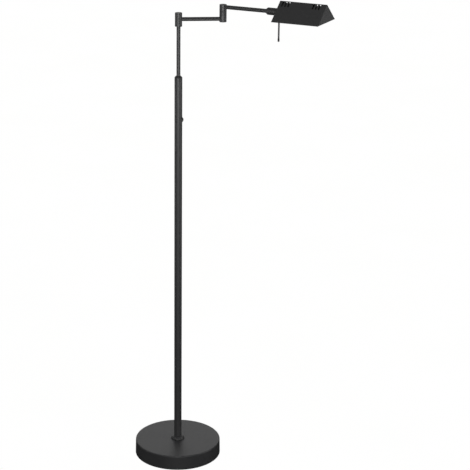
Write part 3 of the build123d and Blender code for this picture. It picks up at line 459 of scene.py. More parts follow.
# The reflector's sheet: drawn lines along its bright inside, and a dull black back.
def reflectorSheet(spec):
    material = lineMetal("reflectorSheet", spec)
    tree = material.node_tree
    shader = tree.nodes["Principled BSDF"]
    side = tree.nodes.new("ShaderNodeAttribute")
    side.attribute_name = "outside"
    bright = shader.inputs["Base Color"].links[0].from_socket
    colour = mixColours(tree, side.outputs["Fac"], bright, spec["backColour"])
    tree.links.new(colour, shader.inputs["Base Color"])
    for socketName, backValue in (("Metallic", 0.0), ("Roughness", spec["backRoughness"])):
        socket = shader.inputs[socketName]
        swap = tree.nodes.new("ShaderNodeMix")
        tree.links.new(side.outputs["Fac"], swap.inputs[0])
        swap.inputs[2].default_value = socket.default_value
        if socket.is_linked:
            tree.links.new(socket.links[0].from_socket, swap.inputs[2])
        swap.inputs[3].default_value = backValue
        tree.links.new(swap.outputs[0], socket)
    return material


finishes["lamp_glass"] = bulbGlass()
finishes["reflector_aluminium"] = reflectorSheet({
    "colour": (0.80, 0.81, 0.82), "secondColour": (0.90, 0.91, 0.92), "stretch": (0.12, 1.0, 1.0),
    "lineSize": 0.0015, "roughness": (0.24, 0.34), "depth": 0.00001,
    "backColour": (0.008, 0.008, 0.008), "backRoughness": 0.8,
})
slotOf = {part["node"]: part["material_slot"] for part in frame["record"]["subparts"]}
for nodeName, node in nodes.items():
    node.data.materials.clear()
    node.data.materials.append(finishes[slotOf[nodeName]])
print("finishes ready:", len(finishes))


# Studio

def makeStudio(spec):
    world = bpy.data.worlds.new("studioWorld")
    bpy.context.scene.world = world
    world.use_nodes = True
    background = world.node_tree.nodes["Background"]
    background.inputs["Color"].default_value = (*[spec["worldGrey"]] * 3, 1.0)
    for name, (place, aim, width, height, watts) in spec["softboxes"].items():
        light = bpy.data.lights.new(name, "AREA")
        light.shape = "RECTANGLE"
        light.size, light.size_y = width, height
        light.energy = watts
        box = bpy.data.objects.new(name, light)
        box.location = place
        box.rotation_euler = (Vector(aim) - Vector(place)).to_track_quat("-Z", "Y").to_euler()
        box.visible_camera = False
        bpy.context.scene.collection.objects.link(box)

    # The floor is a disc, point = r (cos t, sin t, 0), and the backdrop a dome over it,
    # point = R (cos t cos e, sin t cos e, sin e). Both are lit white and give the lamp no light.
    t = np.linspace(0, 2 * pi, 96, endpoint=False)
    r = np.array([0.0, 0.3, 1.0, 3.0, spec["domeRadius"]])[:, None]
    disc = np.stack([r * np.cos(t), r * np.sin(t), 0 * (r * t) - spec["floorDrop"]], -1)
    e = np.linspace(-0.02, pi / 2, 24)[:, None]
    dome = spec["domeRadius"] * np.stack([
        np.cos(t) * np.cos(e), np.sin(t) * np.cos(e), np.sin(e) + 0 * t,
    ], -1)
    for name, points, glow in (("floor", disc, spec["floorGlow"]), ("backdrop", dome, spec["domeGlow"])):
        piece = makeObject(name, points, gridQuads(len(points), len(t), False, True), turnOut=False)
        material, tree, shader, place = newMaterial(name + "White")
        white = mixColours(tree, noiseValue(tree, place, 0.5, 0.0, 1.0), spec["white"], spec["secondWhite"])
        tree.links.new(white, shader.inputs["Emission Color"])
        shader.inputs["Base Color"].default_value = (0.0, 0.0, 0.0, 1.0)
        shader.inputs["Specular IOR Level"].default_value = 0.0
        shader.inputs["Emission Strength"].default_value = glow
        shader.inputs["Roughness"].default_value = 0.9
        piece.data.materials.append(material)
        piece.visible_glossy = False
        piece.visible_diffuse = False
        piece.visible_shadow = False


makeStudio(studio)
print("studio ready")


# Base

base = {
    "topEdge": 3.0 * mm,
    "footEdge": 0.35 * mm,
    "wall": 1.2 * mm,
    "taper": 0.8 * mm,
    "centreHole": 5.25 * mm,
    "inletHole": 4.65 * mm,
}


def makeBaseCover(spec):
    low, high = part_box("base_cover")
    foot, top = high.x, high.x - spec["taper"]
    wall = spec["wall"]
    line = roundedLine([
        (spec["centreHole"], high.z, 0.0),
        (top, high.z, spec["topEdge"]),
        (foot, low.z, spec["footEdge"]),
        (foot - wall, low.z, spec["footEdge"]),
        (top - wall, high.z - wall, spec["topEdge"] - wall),
        (spec["centreHole"], high.z - wall, 0.0),
    ], arcSteps=10)
    cover = turned("baseCover", line, (0, 0, 0), around=288)
    inletHeight = middle("cord_inlet").z
    cutAway(cover, [rodShape((-foot + 12 * mm, 0, inletHeight), (-1, 0, 0), spec["inletHole"], 20 * mm)])
    dress(cover, "stand", "black_coat", ["base_cover"])


collar = {
    "slip": 0.05 * mm,
    "rimHeight": 3.0 * mm,
    "lip": 1.0 * mm,
    "crownOut": 1.0 * mm,     # from the middle between bore and rim
    "crownDown": 2.2 * mm,
    "footEdge": 0.3 * mm,
    "rimEdge": 1.2 * mm,
    "crownEdge": 3.0 * mm,
    "lipEdge": 0.4 * mm,
}


def makeBaseCollar(spec):
    low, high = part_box("base_collar")
    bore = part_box("pole_lower")[1].x + spec["slip"]
    rim = high.x
    line = roundedLine([
        (bore, low.z, 0.0),
        (rim, low.z, spec["footEdge"]),
        (rim, low.z + spec["rimHeight"], spec["rimEdge"]),
        ((bore + rim) / 2 + spec["crownOut"], high.z - spec["crownDown"], spec["crownEdge"]),
        (bore + spec["lip"], high.z, spec["lipEdge"]),
        (bore, high.z, 0.0),
    ], arcSteps=8)
    piece = turned("baseCollar", line, (0, 0, 0), around=128)
    dress(piece, "stand", "black_coat", ["base_collar"])


inlet = {
    "bore": 2.6 * mm,
    "neck": 4.6 * mm,
    "innerRim": 1.0 * mm,
    "innerLip": 1.6 * mm,
    "skirtGap": 0.05 * mm,
    "mouth": 0.9 * mm,
    "edge": 0.7 * mm,
    "lipEdge": 0.5 * mm,
    "boreEdge": 0.3 * mm,
    "mouthEdge": 0.2 * mm,
}


# A rubber bush: an outer lip, a neck through the skirt and an inner lip.
def makeCordInlet(spec):
    low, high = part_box("cord_inlet")
    flange = (high.z - low.z) / 2
    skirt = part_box("base_cover")[1].x + spec["skirtGap"]
    length = -low.x
    inner = -high.x
    lip = inner + spec["innerLip"]
    line = roundedLine([
        (spec["bore"], inner, spec["boreEdge"]),
        (flange - spec["innerRim"], inner, spec["lipEdge"]),
        (flange - spec["innerRim"], lip, spec["lipEdge"]),
        (spec["neck"], lip, 0.0),
        (spec["neck"], skirt, 0.0),
        (flange, skirt, spec["boreEdge"]),
        (flange, length, spec["edge"]),
        (spec["bore"] + spec["mouth"], length, spec["boreEdge"]),
        (spec["bore"], length - spec["mouth"], spec["mouthEdge"]),
    ], arcSteps=5)
    piece = turned("cordInlet", line, (0, 0, (low.z + high.z) / 2), (-1, 0, 0), around=64)
    dress(piece, "stand", "black_rubber", ["cord_inlet"])


screws = {
    "count": 3,
    "circle": 75.0 * mm,
    "seat": 3.0 * mm,
    "headRadius": 3.6 * mm,
    "headHeight": 2.0 * mm,
    "crown": 0.55 * mm,
    "rimDrop": 0.75 * mm,
    "shank": 2.0 * mm,
    "length": 14.0 * mm,
    "point": 0.8 * mm,
    "crossWidth": 0.55 * mm,
    "crossReach": 2.1 * mm,
    "crossDepth": 1.1 * mm,
    "crossRise": 0.45,
    "spin": (0.4, 1.7),       # of the first cross, and then by share of the way round
    "widthBlend": 0.18 * mm,
    "reachBlend": 0.25 * mm,
}


# Pan heads seen from below, each with a cross recess. On a polar grid of r and t:
# height = top - crown (r / R)^4 - depth of the cross, where the cross is 1 near either arm's line.
def makeBaseScrews(spec):
    headRadius, headHeight = spec["headRadius"], spec["headHeight"]
    r = np.concatenate([np.linspace(0, 0.86, 34), np.linspace(0.88, 1.0, 8)])[:, None] * headRadius
    t = np.linspace(0, 2 * pi, 144, endpoint=False)[None]
    x, y = r * np.cos(t), r * np.sin(t)
    arm = np.minimum(np.abs(x), np.abs(y))
    reach = np.maximum(np.abs(x), np.abs(y))
    cross = np.clip((spec["crossWidth"] - arm) / spec["widthBlend"] + 0.5, 0, 1)
    cross = cross * np.clip((spec["crossReach"] - reach) / spec["reachBlend"] + 0.5, 0, 1)
    depth = spec["crossDepth"] * (1 - spec["crossRise"] * reach / spec["crossReach"])
    face = headHeight - spec["crown"] * (r / headRadius) ** 4 - cross * depth
    rings = [np.stack([x, y, face], -1)]
    for radius, height in (
        (headRadius, headHeight - spec["rimDrop"]),
        (headRadius, 0.0),
        (spec["shank"], 0.0),
        (spec["shank"], spec["point"] - spec["length"]),
        (spec["shank"] - spec["point"], -spec["length"]),
        (0.0, -spec["length"]),
    ):
        rings.append(np.stack([radius * np.cos(t), radius * np.sin(t), 0 * t + height], -1))
    single = np.concatenate(rings)
    points, quads = [], []
    for number in range(spec["count"]):
        turn = 2 * pi * number / spec["count"]
        centre = np.array([spec["circle"] * cos(turn), spec["circle"] * sin(turn), spec["seat"]])
        spin = spec["spin"][0] + spec["spin"][1] * turn
        turnedX = single[..., 0] * cos(spin) - single[..., 1] * sin(spin)
        turnedY = single[..., 0] * sin(spin) + single[..., 1] * cos(spin)
        placed = np.stack([turnedX, -turnedY, -single[..., 2]], -1) + centre
        quads.append(gridQuads(*single.shape[:2], False, True) + len(points) * single[..., 0].size)
        points.append(placed.reshape(-1, 3))
    piece = makeObject("footScrews", np.concatenate(points), np.concatenate(quads))
    dress(piece, "stand", "zinc_steel", ["base_screws"])


makeBaseCover(base)
makeBaseCollar(collar)
makeCordInlet(inlet)
makeBaseScrews(screws)
print("base made")


# Pole and mast

tubes = {"wall": 1.0 * mm, "seamEdge": 0.4 * mm, "cutEdge": 0.2 * mm, "slip": 0.05 * mm}


# A straight tube between two heights on an axis, with both ends rounded over.
def makeTube(name, foot, axis, start, end, radius, wall, edge, around=80):
    line = roundedLine([
        (radius, start, edge),
        (radius - wall, start, edge * 0.5),
        (radius - wall, end, edge * 0.5),
        (radius, end, edge),
    ], arcSteps=4)
    return turned(name, line, foot, axis, around=around)


def makePole(spec):
    for nodeName, pieceName in (
        ("pole_lower", "poleLower"), ("pole_middle", "poleMiddle"), ("pole_upper", "poleUpper"),
    ):
        low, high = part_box(nodeName)
        piece = makeTube(
            pieceName, (0, 0, 0), (0, 0, 1), low.z, high.z, high.x, spec["wall"], spec["seamEdge"],
        )
        if nodeName == "pole_upper":
            cutAway(piece, [rodShape(switchPlace, switchOut, switch["neck"], high.x + spec["wall"])])
        dress(piece, "stand", "black_coat", [nodeName])
    low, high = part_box("mast_tube")
    piece = makeTube("mastTube", (0, 0, 0), (0, 0, 1), low.z, high.z, high.x, spec["wall"], spec["cutEdge"])
    dress(piece, "mast", "black_coat", ["mast_tube"])


poleCollar = {
    "rim": 2.0 * mm,
    "lean": 0.9,
    "press": 0.03 * mm,
    "edge": 0.5 * mm,
    "spigotEdge": 0.3 * mm,
    "seamEdge": 0.25 * mm,
    "boreEdge": 0.2 * mm,
}


def makePoleCollar(spec):
    low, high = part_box("pole_collar")
    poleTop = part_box("pole_upper")[1].z
    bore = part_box("mast_tube")[1].x + tubes["slip"]
    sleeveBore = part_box("friction_sleeve")[1].x + spec["press"]
    radius = high.x
    spigot = radius - tubes["wall"] - spec["press"]
    shoulder = poleTop + spec["rim"]
    slope = high.z - shoulder
    line = roundedLine([
        (sleeveBore, low.z, 0.0),
        (spigot, low.z, spec["spigotEdge"]),
        (spigot, poleTop, 0.0),
        (radius, poleTop, spec["seamEdge"]),
        (radius, shoulder, spec["edge"]),
        (radius - slope * spec["lean"], high.z, spec["edge"]),
        (bore, high.z, spec["boreEdge"]),
        (bore, shoulder, 0.0),
        (sleeveBore, shoulder, 0.0),
    ], arcSteps=5)
    piece = turned("poleCollar", line, (0, 0, 0), around=96)
    dress(piece, "stand", "black_coat", ["pole_collar"])


# Switch in the side of the pole

switch = {
    "angle": 25.0,   # degrees from +X towards +Y
    "flange": 6.3 * mm,
    "neck": 4.9 * mm,
    "bore": 3.65 * mm,
    "pocket": 4.25 * mm,
    "shoulder": 10.4 * mm,
    "neckStart": 8.8 * mm,
    "standOff": 1.8 * mm,
    "edge": 0.6 * mm,
    "neckEdge": 0.2 * mm,
    "backEdge": 0.12 * mm,
    "boreEdge": 0.25 * mm,
    "backDepth": 0.3 * mm,
    "button": 3.6 * mm,
    "buttonFlange": 4.2 * mm,
    "buttonStart": 9.7 * mm,
    "buttonFoot": 0.6 * mm,
    "buttonTop": 14.4 * mm,
    "buttonEdge": 0.8 * mm,
    "flangeEdge": 0.1 * mm,
    "dish": 0.35 * mm,
    "dishShare": 0.72,
}
switchPlace = (0, 0, middle("switch_bezel").z)
switchOut = (cos(radians(switch["angle"])), sin(radians(switch["angle"])), 0)


# The bezel is a turned ring whose flange back follows the pole of radius R:
# at the flange's edge the height along the axis is sqrt(R^2 - (r sin t)^2), with t from the level.
def makeSwitch(spec):
    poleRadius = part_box("pole_upper")[1].x + tubes["slip"]
    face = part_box("pole_upper")[1].x + spec["standOff"]
    line = roundedLine([
        (spec["neck"], spec["neckStart"], spec["neckEdge"]),
        (spec["neck"], poleRadius, 0.0),
        (spec["flange"], poleRadius, spec["backEdge"]),
        (spec["flange"], face, spec["edge"]),
        (spec["bore"], face, spec["boreEdge"]),
        (spec["bore"], spec["shoulder"], 0.0),
        (spec["pocket"], spec["shoulder"], 0.0),
        (spec["pocket"], spec["neckStart"], 0.0),
    ], arcSteps=5)
    t = np.linspace(0, 2 * pi, 96, endpoint=False)[None]
    r, h = line[:, 0][:, None], line[:, 1][:, None]
    saddle = np.sqrt(poleRadius ** 2 - (np.minimum(r, spec["flange"]) * np.cos(t)) ** 2) - poleRadius
    onBack = (r > spec["neck"] - spec["backEdge"]) & (h > poleRadius - spec["backDepth"])
    height = h + saddle * onBack * np.clip((poleRadius + spec["backDepth"] - h) / spec["backDepth"], 0, 1)
    out, level, up = np.array(switchOut), np.array((-switchOut[1], switchOut[0], 0)), np.array((0, 0, 1.0))
    points = (
        np.array(switchPlace)
        + height[..., None] * out
        + (r * np.cos(t))[..., None] * level
        + (r * np.sin(t))[..., None] * up
    )
    bezel = makeObject("switchBezel", points, gridQuads(len(line), t.size, True, True))
    dress(bezel, "stand", "black_plastic", ["switch_bezel"])

    # The button's face is dished: height = top - dish (1 - (r / R)^2).
    dishRadius = spec["button"] * spec["dishShare"]
    dishPoints = [
        (radius, spec["buttonTop"] - spec["dish"] * (1 - (radius / dishRadius) ** 2), 0.0)
        for radius in np.array((0.0, 0.24, 0.48, 0.66)) * spec["button"]
    ]
    line = roundedLine(dishPoints + [
        (dishRadius, spec["buttonTop"], spec["flangeEdge"]),
        (spec["button"], spec["buttonTop"], spec["buttonEdge"]),
        (spec["button"], spec["buttonStart"] + spec["buttonFoot"], 0.0),
        (spec["buttonFlange"], spec["buttonStart"] + spec["buttonFoot"], spec["flangeEdge"]),
        (spec["buttonFlange"], spec["buttonStart"], spec["flangeEdge"]),
        (0.0, spec["buttonStart"], 0.0),
    ], closed=False, arcSteps=5)
    button = turned("switchButton", line, switchPlace, switchOut, closed=False, around=64)
    dress(button, "button", "black_plastic", ["switch_button"])


makePole(tubes)
makePoleCollar(poleCollar)
makeSwitch(switch)
print("pole, mast and switch made")


# Knuckles and arms

knuckles = {
    "edge": 0.7 * mm,
    "boreEdge": 0.2 * mm,
    "cavity": 7.5 * mm,
    "capEdge": 0.35 * mm,
    "capFootEdge": 0.1 * mm,
    "capCrown": 0.25 * mm,
    "mastSocket": 5.0 * mm,
    "floor": 4.0 * mm,
    "spindle": 4.05 * mm,
    "deck": 4.2 * mm,
    "spigot": 4.5 * mm,
    "armHole": 5.53 * mm,
    "armStart": 8.0 * mm,
    "overrun": 1.0 * mm,      # of a cutter past the wall that it goes through
}
lowerArmFoot = (0, 0, middle("lower_arm_tube").z)
elbow = middle("elbow_barrel")
lowerArmDirection = Vector((elbow.x, elbow.y, 0)).normalized()
lowerArmReach = sqrt(elbow.x ** 2 + elbow.y ** 2)
upperArmFoot = (elbow.x, elbow.y, middle("upper_arm_tube").z)


def makeLowerKnuckle(spec):
    low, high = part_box("lower_knuckle")
    radius = high.x
    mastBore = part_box("mast_tube")[1].x + tubes["slip"]
    floorBottom = low.z + spec["mastSocket"]
    floorTop = floorBottom + spec["floor"]
    line = roundedLine([
        (mastBore, low.z, spec["boreEdge"]),
        (radius, low.z, spec["edge"]),
        (radius, high.z, spec["edge"]),
        (spec["cavity"], high.z, spec["boreEdge"]),
        (spec["cavity"], floorTop, 0.0),
        (spec["spindle"], floorTop, 0.0),
        (spec["spindle"], floorBottom, 0.0),
        (mastBore, floorBottom, 0.0),
    ], arcSteps=5)
    piece = turned("lowerKnuckle", line, (0, 0, 0), around=112)
    cutAway(piece, [rodShape(lowerArmFoot, lowerArmDirection, spec["armHole"], radius + spec["overrun"])])
    dress(piece, "lower_arm", "black_coat", ["lower_knuckle"])


def makeElbow(spec):
    low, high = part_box("elbow_barrel")
    radius = (high.x - low.x) / 2
    line = roundedLine([
        (spec["cavity"], low.z, spec["boreEdge"]),
        (radius, low.z, spec["edge"]),
        (radius, high.z, spec["boreEdge"]),
        (spec["spindle"], high.z, 0.0),
        (spec["spindle"], high.z - spec["deck"], 0.0),
        (spec["cavity"], high.z - spec["deck"], 0.0),
    ], arcSteps=5)
    barrel = turned("elbowBarrel", line, (elbow.x, elbow.y, 0), around=112)
    holeStart = Vector(lowerArmFoot) + lowerArmDirection * (lowerArmReach - radius - spec["overrun"])
    cutAway(barrel, [rodShape(holeStart, lowerArmDirection, spec["armHole"], radius + spec["overrun"])])
    dress(barrel, "lower_arm", "black_coat", ["elbow_barrel"])

    low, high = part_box("elbow_knuckle")
    line = roundedLine([
        (spec["spigot"], low.z, 0.0),
        (radius, low.z, spec["boreEdge"]),
        (radius, high.z, spec["edge"]),
        (spec["cavity"], high.z, spec["boreEdge"]),
        (spec["cavity"], low.z + spec["deck"], 0.0),
        (spec["spigot"], low.z + spec["deck"], 0.0),
    ], arcSteps=5)
    knuckle = turned("elbowKnuckle", line, (elbow.x, elbow.y, 0), around=112)
    cutAway(knuckle, [rodShape(upperArmFoot, (1, 0, 0), spec["armHole"], radius + spec["overrun"])])
    dress(knuckle, "upper_arm", "black_coat", ["elbow_knuckle"])


# Caps are slightly crowned discs: height = top - crown (r / R)^2.
def makeCaps(spec):
    for nodeName, pieceName, body, outward in (
        ("lower_knuckle_cap", "lowerKnuckleCap", "lower_arm", 1),
        ("elbow_barrel_cap", "elbowBarrelCap", "lower_arm", -1),
        ("elbow_knuckle_cap", "elbowKnuckleCap", "upper_arm", 1),
    ):
        low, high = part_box(nodeName)
        radius = (high.x - low.x) / 2
        outer, inner = (high.z, low.z) if outward > 0 else (low.z, high.z)
        crown = [
            (share * radius, outer - outward * spec["capCrown"] * share ** 2, 0.0)
            for share in (0.0, 0.25, 0.5, 0.75)
        ]
        line = roundedLine(crown + [
            (radius, outer - outward * spec["capCrown"], spec["capEdge"]),
            (radius, inner, spec["capFootEdge"]),
            (0.0, inner, 0.0),
        ], closed=False, arcSteps=5)
        axis = middle(nodeName)
        cap = turned(pieceName, line, (axis.x, axis.y, 0), closed=False, around=96)
        dress(cap, body, "black_coat", [nodeName])


def makeArms(spec):
    radius = halfHeight("lower_arm_tube")
    end = lowerArmReach - spec["armStart"]
    lower = makeTube(
        "lowerArmTube", lowerArmFoot, lowerArmDirection, spec["armStart"], end, radius,
        tubes["wall"], tubes["cutEdge"],
    )
    dress(lower, "lower_arm", "black_coat", ["lower_arm_tube"])
    low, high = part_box("upper_arm_tube")
    upper = makeTube(
        "upperArmTube", (0, upperArmFoot[1], upperArmFoot[2]), (1, 0, 0), low.x, high.x, radius,
        tubes["wall"], tubes["cutEdge"],
    )
    dress(upper, "upper_arm", "black_coat", ["upper_arm_tube"])


makeLowerKnuckle(knuckles)
makeElbow(knuckles)
makeCaps(knuckles)
makeArms(knuckles)
print("knuckles and arms made")


# Head

socket = {
    "coneLength": 4.5 * mm,
    "coneRadius": 6.9 * mm,
    "coneEdge": 0.4 * mm,
    "shoulderEdge": 0.8 * mm,
    "armDepth": 20.0 * mm,
    "wall": 4.0 * mm,
    "rodHole": 1.63 * mm,
    "boreEdge": 0.2 * mm,
}


def makeSocket(spec):
    low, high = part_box("swivel_socket")
    radius = halfHeight("swivel_socket")
    armBore = halfHeight("upper_arm_tube") + tubes["slip"]
    wallStart = low.x + spec["armDepth"]
    wallEnd = wallStart + spec["wall"]
    line = roundedLine([
        (armBore, low.x, spec["boreEdge"]),
        (spec["coneRadius"], low.x, spec["coneEdge"]),
        (radius, low.x + spec["coneLength"], spec["shoulderEdge"]),
        (radius, high.x, 0.0),
        (knuckles["cavity"], high.x, 0.0),
        (knuckles["cavity"], wallEnd, 0.0),
        (knuckles["spindle"], wallEnd, 0.0),
        (knuckles["spindle"], wallStart, 0.0),
        (armBore, wallStart, 0.0),
    ], arcSteps=5)
    piece = turned("swivelSocket", line, (0, upperArmFoot[1], upperArmFoot[2]), (1, 0, 0), around=112)
    rodTop = (middle("tilt_rod").x, upperArmFoot[1], upperArmFoot[2])
    cutAway(piece, [rodShape(rodTop, (0, 0, -1), spec["rodHole"], radius + knuckles["overrun"])])
    dress(piece, "head", "black_coat", ["swivel_socket"])


handle = {
    "rod": 2.4 * mm,
    "thread": 1.6 * mm,
    "neck": 0.6 * mm,
    "tip": 2.7 * mm,
    "cover": 6.0 * mm,
    "endEdge": 0.2 * mm,
    "shoulderEdge": 0.5 * mm,
    "tipEdge": 2.16 * mm,
    "tipRimEdge": 0.35 * mm,
}


def makeHandle(spec):
    low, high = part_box("tilt_rod")
    place = (middle("tilt_rod").x, middle("tilt_rod").y, 0)
    neckBottom = upperArmFoot[2] - halfHeight("swivel_socket") - spec["neck"]
    line = roundedLine([
        (0.0, low.z, 0.0),
        (spec["rod"], low.z, spec["endEdge"]),
        (spec["rod"], neckBottom, spec["shoulderEdge"]),
        (spec["thread"], neckBottom, 0.0),
        (spec["thread"], high.z, spec["endEdge"]),
        (0.0, high.z, 0.0),
    ], closed=False, arcSteps=5)
    rod = turned("tiltRod", line, place, closed=False, around=56)
    dress(rod, "head", "black_coat", ["tilt_rod"])

    low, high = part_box("rod_tip")
    line = roundedLine([
        (0.0, low.z, 0.0),
        (spec["tip"], low.z, spec["tipEdge"]),
        (spec["tip"], high.z, spec["tipRimEdge"]),
        (spec["rod"], high.z, 0.0),
        (spec["rod"], high.z - spec["cover"], 0.0),
        (0.0, high.z - spec["cover"], 0.0),
    ], closed=False, arcSteps=8)
    tip = turned("rodTip", line, place, closed=False, around=56)
    dress(tip, "head", "black_rubber", ["rod_tip"])


shade = {
    "ridgeRadius": 2.5 * mm,
    "sheet": 1.0 * mm,
    "edge": 0.2 * mm,
    "slotWidth": 4.8 * mm,
    "slotLength": 19.0 * mm,
    "slotFromRidge": 2.6 * mm,
    "slotPitch": 8.9 * mm,
    "slotsInGroup": 3,
    "firstLeft": 11.0 * mm,     # from the left end of each face, seen from outside
    "firstRight": 18.1 * mm,
    "plateGap": 0.03 * mm,
    "plateEdge": 0.45 * mm,
    "cutterReach": 3.0 * mm,  # of a slot's cutter to each side of the sheet's outer face
}
shadeLow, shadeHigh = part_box("shade")
headY = middle("shade").y
shadeHalfWidth = (shadeHigh.y - shadeLow.y) / 2


# The apex that the two faces would meet in, and their slope, from the height and the rounded ridge.
def tentShape(spec):
    slope = 1.0
    for step in range(12):
        apex = shadeHigh.z + spec["ridgeRadius"] * (sqrt(1 + slope * slope) - 1)
        slope = (apex - shadeLow.z) / shadeHalfWidth
    return apex, slope


tentApex, tentSlope = tentShape(shade)


# Half of the tent's section, from the ridge to the lower edge, at an inset from the outer face:
# (y, z) = arc centre + (R - inset) (sin a, cos a) for a from 0 to the slope angle, then straight down.
def tentHalf(inset, bottom, arcSteps=8):
    angle = atan2(tentSlope, 1.0)
    radius = shade["ridgeRadius"] - inset
    centre = tentApex - shade["ridgeRadius"] / cos(angle)
    a = np.linspace(0, angle, arcSteps)
    arc = np.stack([radius * np.sin(a), centre + radius * np.cos(a)], -1)
    low = (tentApex - inset / cos(angle) - bottom) / tentSlope
    return np.concatenate([arc, [(low, bottom)]])


# The whole line over the ridge, from the left edge to the right one.
def tentOver(inset, bottom):
    right = tentHalf(inset, bottom)
    left = right[:0:-1] * (-1, 1)
    return np.concatenate([left, right])


# A slot is a long hole with round ends that runs down the face, square to it.
def slotCutters(spec):
    halfWidth, halfLength = spec["slotWidth"] / 2, spec["slotLength"] / 2
    corner = halfWidth * 0.999
    outline = roundedLine([
        (-halfWidth, -halfLength, corner), (halfWidth, -halfLength, corner),
        (halfWidth, halfLength, corner), (-halfWidth, halfLength, corner),
    ], arcSteps=10)
    angle = atan2(tentSlope, 1.0)
    span = (spec["slotsInGroup"] - 1) * spec["slotPitch"]
    cutterReach = spec["cutterReach"]
    cutters = []
    for side in (-1, 1):
        down = (0, side * cos(angle), -sin(angle))
        left, right = (shadeLow.x, shadeHigh.x) if side < 0 else (shadeHigh.x, shadeLow.x)
        inward = -side
        for groupStart in (left + inward * spec["firstLeft"], right - inward * (spec["firstRight"] + span)):
            for number in range(spec["slotsInGroup"]):
                place = groupStart + inward * number * spec["slotPitch"]
                reach = spec["slotFromRidge"] + halfLength
                foot = (place, headY + down[1] * reach, tentApex + down[2] * reach)
                cutters.append(prism("cutter", outline, foot, (1, 0, 0), down, -cutterReach, cutterReach))
    return cutters


def makeShade(spec):
    bottom = shadeLow.z
    section = np.concatenate([tentOver(0.0, bottom), tentOver(spec["sheet"], bottom)[::-1]])
    cover = prism("shadeCover", section, (0, headY, 0), (0, 1, 0), (0, 0, 1), shadeLow.x, shadeHigh.x)
    cutAway(cover, slotCutters(spec))
    roundEdges(cover, spec["edge"])
    dress(cover, "head", "black_coat", ["shade"])

    inset = spec["sheet"] + spec["plateGap"]
    for nodeName, pieceName in (("shade_end_inner", "shadeEndInner"), ("shade_end_outer", "shadeEndOuter")):
        low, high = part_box(nodeName)
        section = tentOver(inset, bottom)
        plate = prism(pieceName, section, (0, headY, 0), (0, 1, 0), (0, 0, 1), low.x, high.x)
        if nodeName == "shade_end_inner":
            holeStart = (low.x - knuckles["overrun"], headY, upperArmFoot[2])
            holeLength = high.x - low.x + 2 * knuckles["overrun"]
            cutAway(plate, [rodShape(holeStart, (1, 0, 0), knuckles["cavity"], holeLength)])
        roundEdges(plate, spec["plateEdge"] if nodeName == "shade_end_outer" else spec["edge"])
        dress(plate, "head", "black_coat", [nodeName])


reflector = {"sheet": 0.6 * mm, "crownBend": 2.4 * mm, "crownHalfWidth": 5.0 * mm, "edge": 0.12 * mm}


# A bent sheet below the shade with a flat crown, bright inside and dark outside.
def makeReflector(spec):
    low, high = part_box("reflector")
    halfWidth = (high.y - low.y) / 2
    thick = spec["sheet"] * sqrt(1 + tentSlope ** 2)
    inner = halfWidth - thick / tentSlope
    innerCrown = spec["crownHalfWidth"] - (thick - spec["sheet"]) / tentSlope
    section = roundedLine([
        (halfWidth, low.z, 0.0),
        (spec["crownHalfWidth"], high.z, spec["crownBend"]),
        (-spec["crownHalfWidth"], high.z, spec["crownBend"]),
        (-halfWidth, low.z, 0.0),
        (-inner, low.z, 0.0),
        (-innerCrown, high.z - spec["sheet"], spec["crownBend"] - spec["sheet"]),
        (innerCrown, high.z - spec["sheet"], spec["crownBend"] - spec["sheet"]),
        (inner, low.z, 0.0),
    ], arcSteps=5)
    piece = prism("reflectorSheet", section, (0, headY, 0), (0, 1, 0), (0, 0, 1), low.x, high.x)
    roundEdges(piece, spec["edge"], 2)
    dress(piece, "head", "reflector_aluminium", ["reflector"])
    normals = np.empty(len(piece.data.polygons) * 3)
    piece.data.polygons.foreach_get("normal", normals)
    outside = (normals.reshape(-1, 3)[:, 2] > 0.05).astype(np.float32)
    piece.data.attributes.new("outside", "FLOAT", "FACE").data.foreach_set("value", outside)


lamp = {
    "glassWall": 0.8 * mm,
    "glassTop": 5.2 * mm,
    "glassFoot": 2.0 * mm,
    "glassFootWall": 2.4 * mm,
    "tip": 1.1 * mm,
    "tipEdge": 0.4 * mm,
    "coilStart": 10.0 * mm,
    "coilRadius": 1.1 * mm,
    "coilTurns": 14,
    "coilLength": 15.0 * mm,
    "wire": 0.22 * mm,
    "postWire": 0.4 * mm,
    "postStart": 1.0 * mm,
    "returnOut": 3.2 * mm,
    "returnBow": 3.4 * mm,
    "returnEnd": 2.6 * mm,
    "holderEdge": 0.5 * mm,
    "capEdge": 0.4 * mm,
    "bracketEdge": 0.25 * mm,
}


# Carries a circle of the given radius along a path of points:
# point = path + radius (cos t n + sin t b), with n and b square to the path.
def wireAlong(path, radius, around=10):
    ahead = np.gradient(path, axis=0)
    ahead /= np.linalg.norm(ahead, axis=1)[:, None]
    guide = np.array((0.31, 0.87, 0.38))
    n = np.cross(ahead, guide)
    n /= np.linalg.norm(n, axis=1)[:, None]
    b = np.cross(ahead, n)
    t = np.linspace(0, 2 * pi, around, endpoint=False)[None, :, None]
    rings = path[:, None] + radius * (np.cos(t) * n[:, None] + np.sin(t) * b[:, None])
    firstCap, lastCap = (np.repeat(path[end][None, None], around, 1) for end in (0, -1))
    rings = np.concatenate([firstCap, rings, lastCap])
    return rings, gridQuads(len(rings), around, False, True)


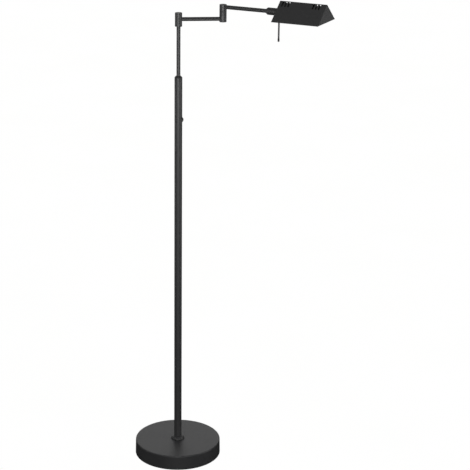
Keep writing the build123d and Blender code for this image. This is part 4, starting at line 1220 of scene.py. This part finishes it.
def makeBulb(spec):
    low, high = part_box("bulb")
    radius, wall = halfHeight("bulb"), spec["glassWall"]
    foot = (0, middle("bulb").y, middle("bulb").z)
    line = roundedLine([
        (0.0, low.x, 0.0),
        (radius, low.x, spec["glassFoot"]),
        (radius, high.x - spec["tip"], spec["glassTop"]),
        (spec["tip"], high.x - spec["tip"] * 0.9, spec["tipEdge"]),
        (0.0, high.x, 0.0),
    ], closed=False, arcSteps=10)
    hollow = roundedLine([
        (0.0, high.x - spec["tip"] - wall, 0.0),
        (radius - wall, high.x - spec["tip"] - wall, spec["glassTop"] - wall),
        (radius - wall, low.x + spec["glassFootWall"], spec["glassFoot"]),
        (0.0, low.x + spec["glassFootWall"], 0.0),
    ], closed=False, arcSteps=10)
    outer = turned("bulbGlass", line, foot, (1, 0, 0), False, 72)
    inner = turned("hollow", hollow, foot, (1, 0, 0), False, 72)
    cutAway(outer, [inner])
    dress(outer, "head", "lamp_glass", ["bulb"])

    # The coil: (x, y, z) = (start + pitch s, R cos 2 pi s, R sin 2 pi s), on two straight posts.
    s = np.linspace(0, spec["coilTurns"], spec["coilTurns"] * 16)
    start = low.x + spec["coilStart"]
    postStart = low.x + spec["postStart"]
    turn = 2 * pi * s
    coil = np.stack([
        start + spec["coilLength"] * s / spec["coilTurns"],
        foot[1] + spec["coilRadius"] * np.cos(turn),
        foot[2] + spec["coilRadius"] * np.sin(turn),
    ], -1)
    posts = [
        np.array([(postStart, foot[1] + spec["coilRadius"], foot[2]), coil[0]]),
        np.array([
            (postStart, foot[1] - spec["returnOut"], foot[2]),
            (start + spec["coilLength"] * 0.5, foot[1] - spec["returnBow"], foot[2]),
            (start + spec["coilLength"], foot[1] - spec["returnEnd"], foot[2]),
            coil[-1],
        ]),
    ]
    points, quads, count = [], [], 0
    for path, wire in ((coil, spec["wire"]), (posts[0], spec["postWire"]), (posts[1], spec["postWire"])):
        rings, faces = wireAlong(path, wire)
        quads.append(faces + count)
        points.append(rings.reshape(-1, 3))
        count += len(points[-1])
    filament = makeObject("bulbFilament", np.concatenate(points), np.concatenate(quads))
    dress(filament, "head", "zinc_steel")


def makeHolder(spec):
    for nodeName, pieceName, width in (
        ("lamp_holder", "lampHolder", spec["holderEdge"]),
        ("bulb_cap", "bulbCap", spec["capEdge"]),
        ("holder_bracket", "holderBracket", spec["bracketEdge"]),
        ("nipple_nut", "nippleNut", spec["bracketEdge"]),
    ):
        piece = softened(nodeName, pieceName, width)
        dress(piece, "head", slotOf[nodeName], [nodeName])


makeSocket(socket)
makeHandle(handle)
makeShade(shade)
makeReflector(reflector)
makeBulb(lamp)
makeHolder(lamp)
print("head made")

bpy.context.scene.view_settings.view_transform = "Standard"
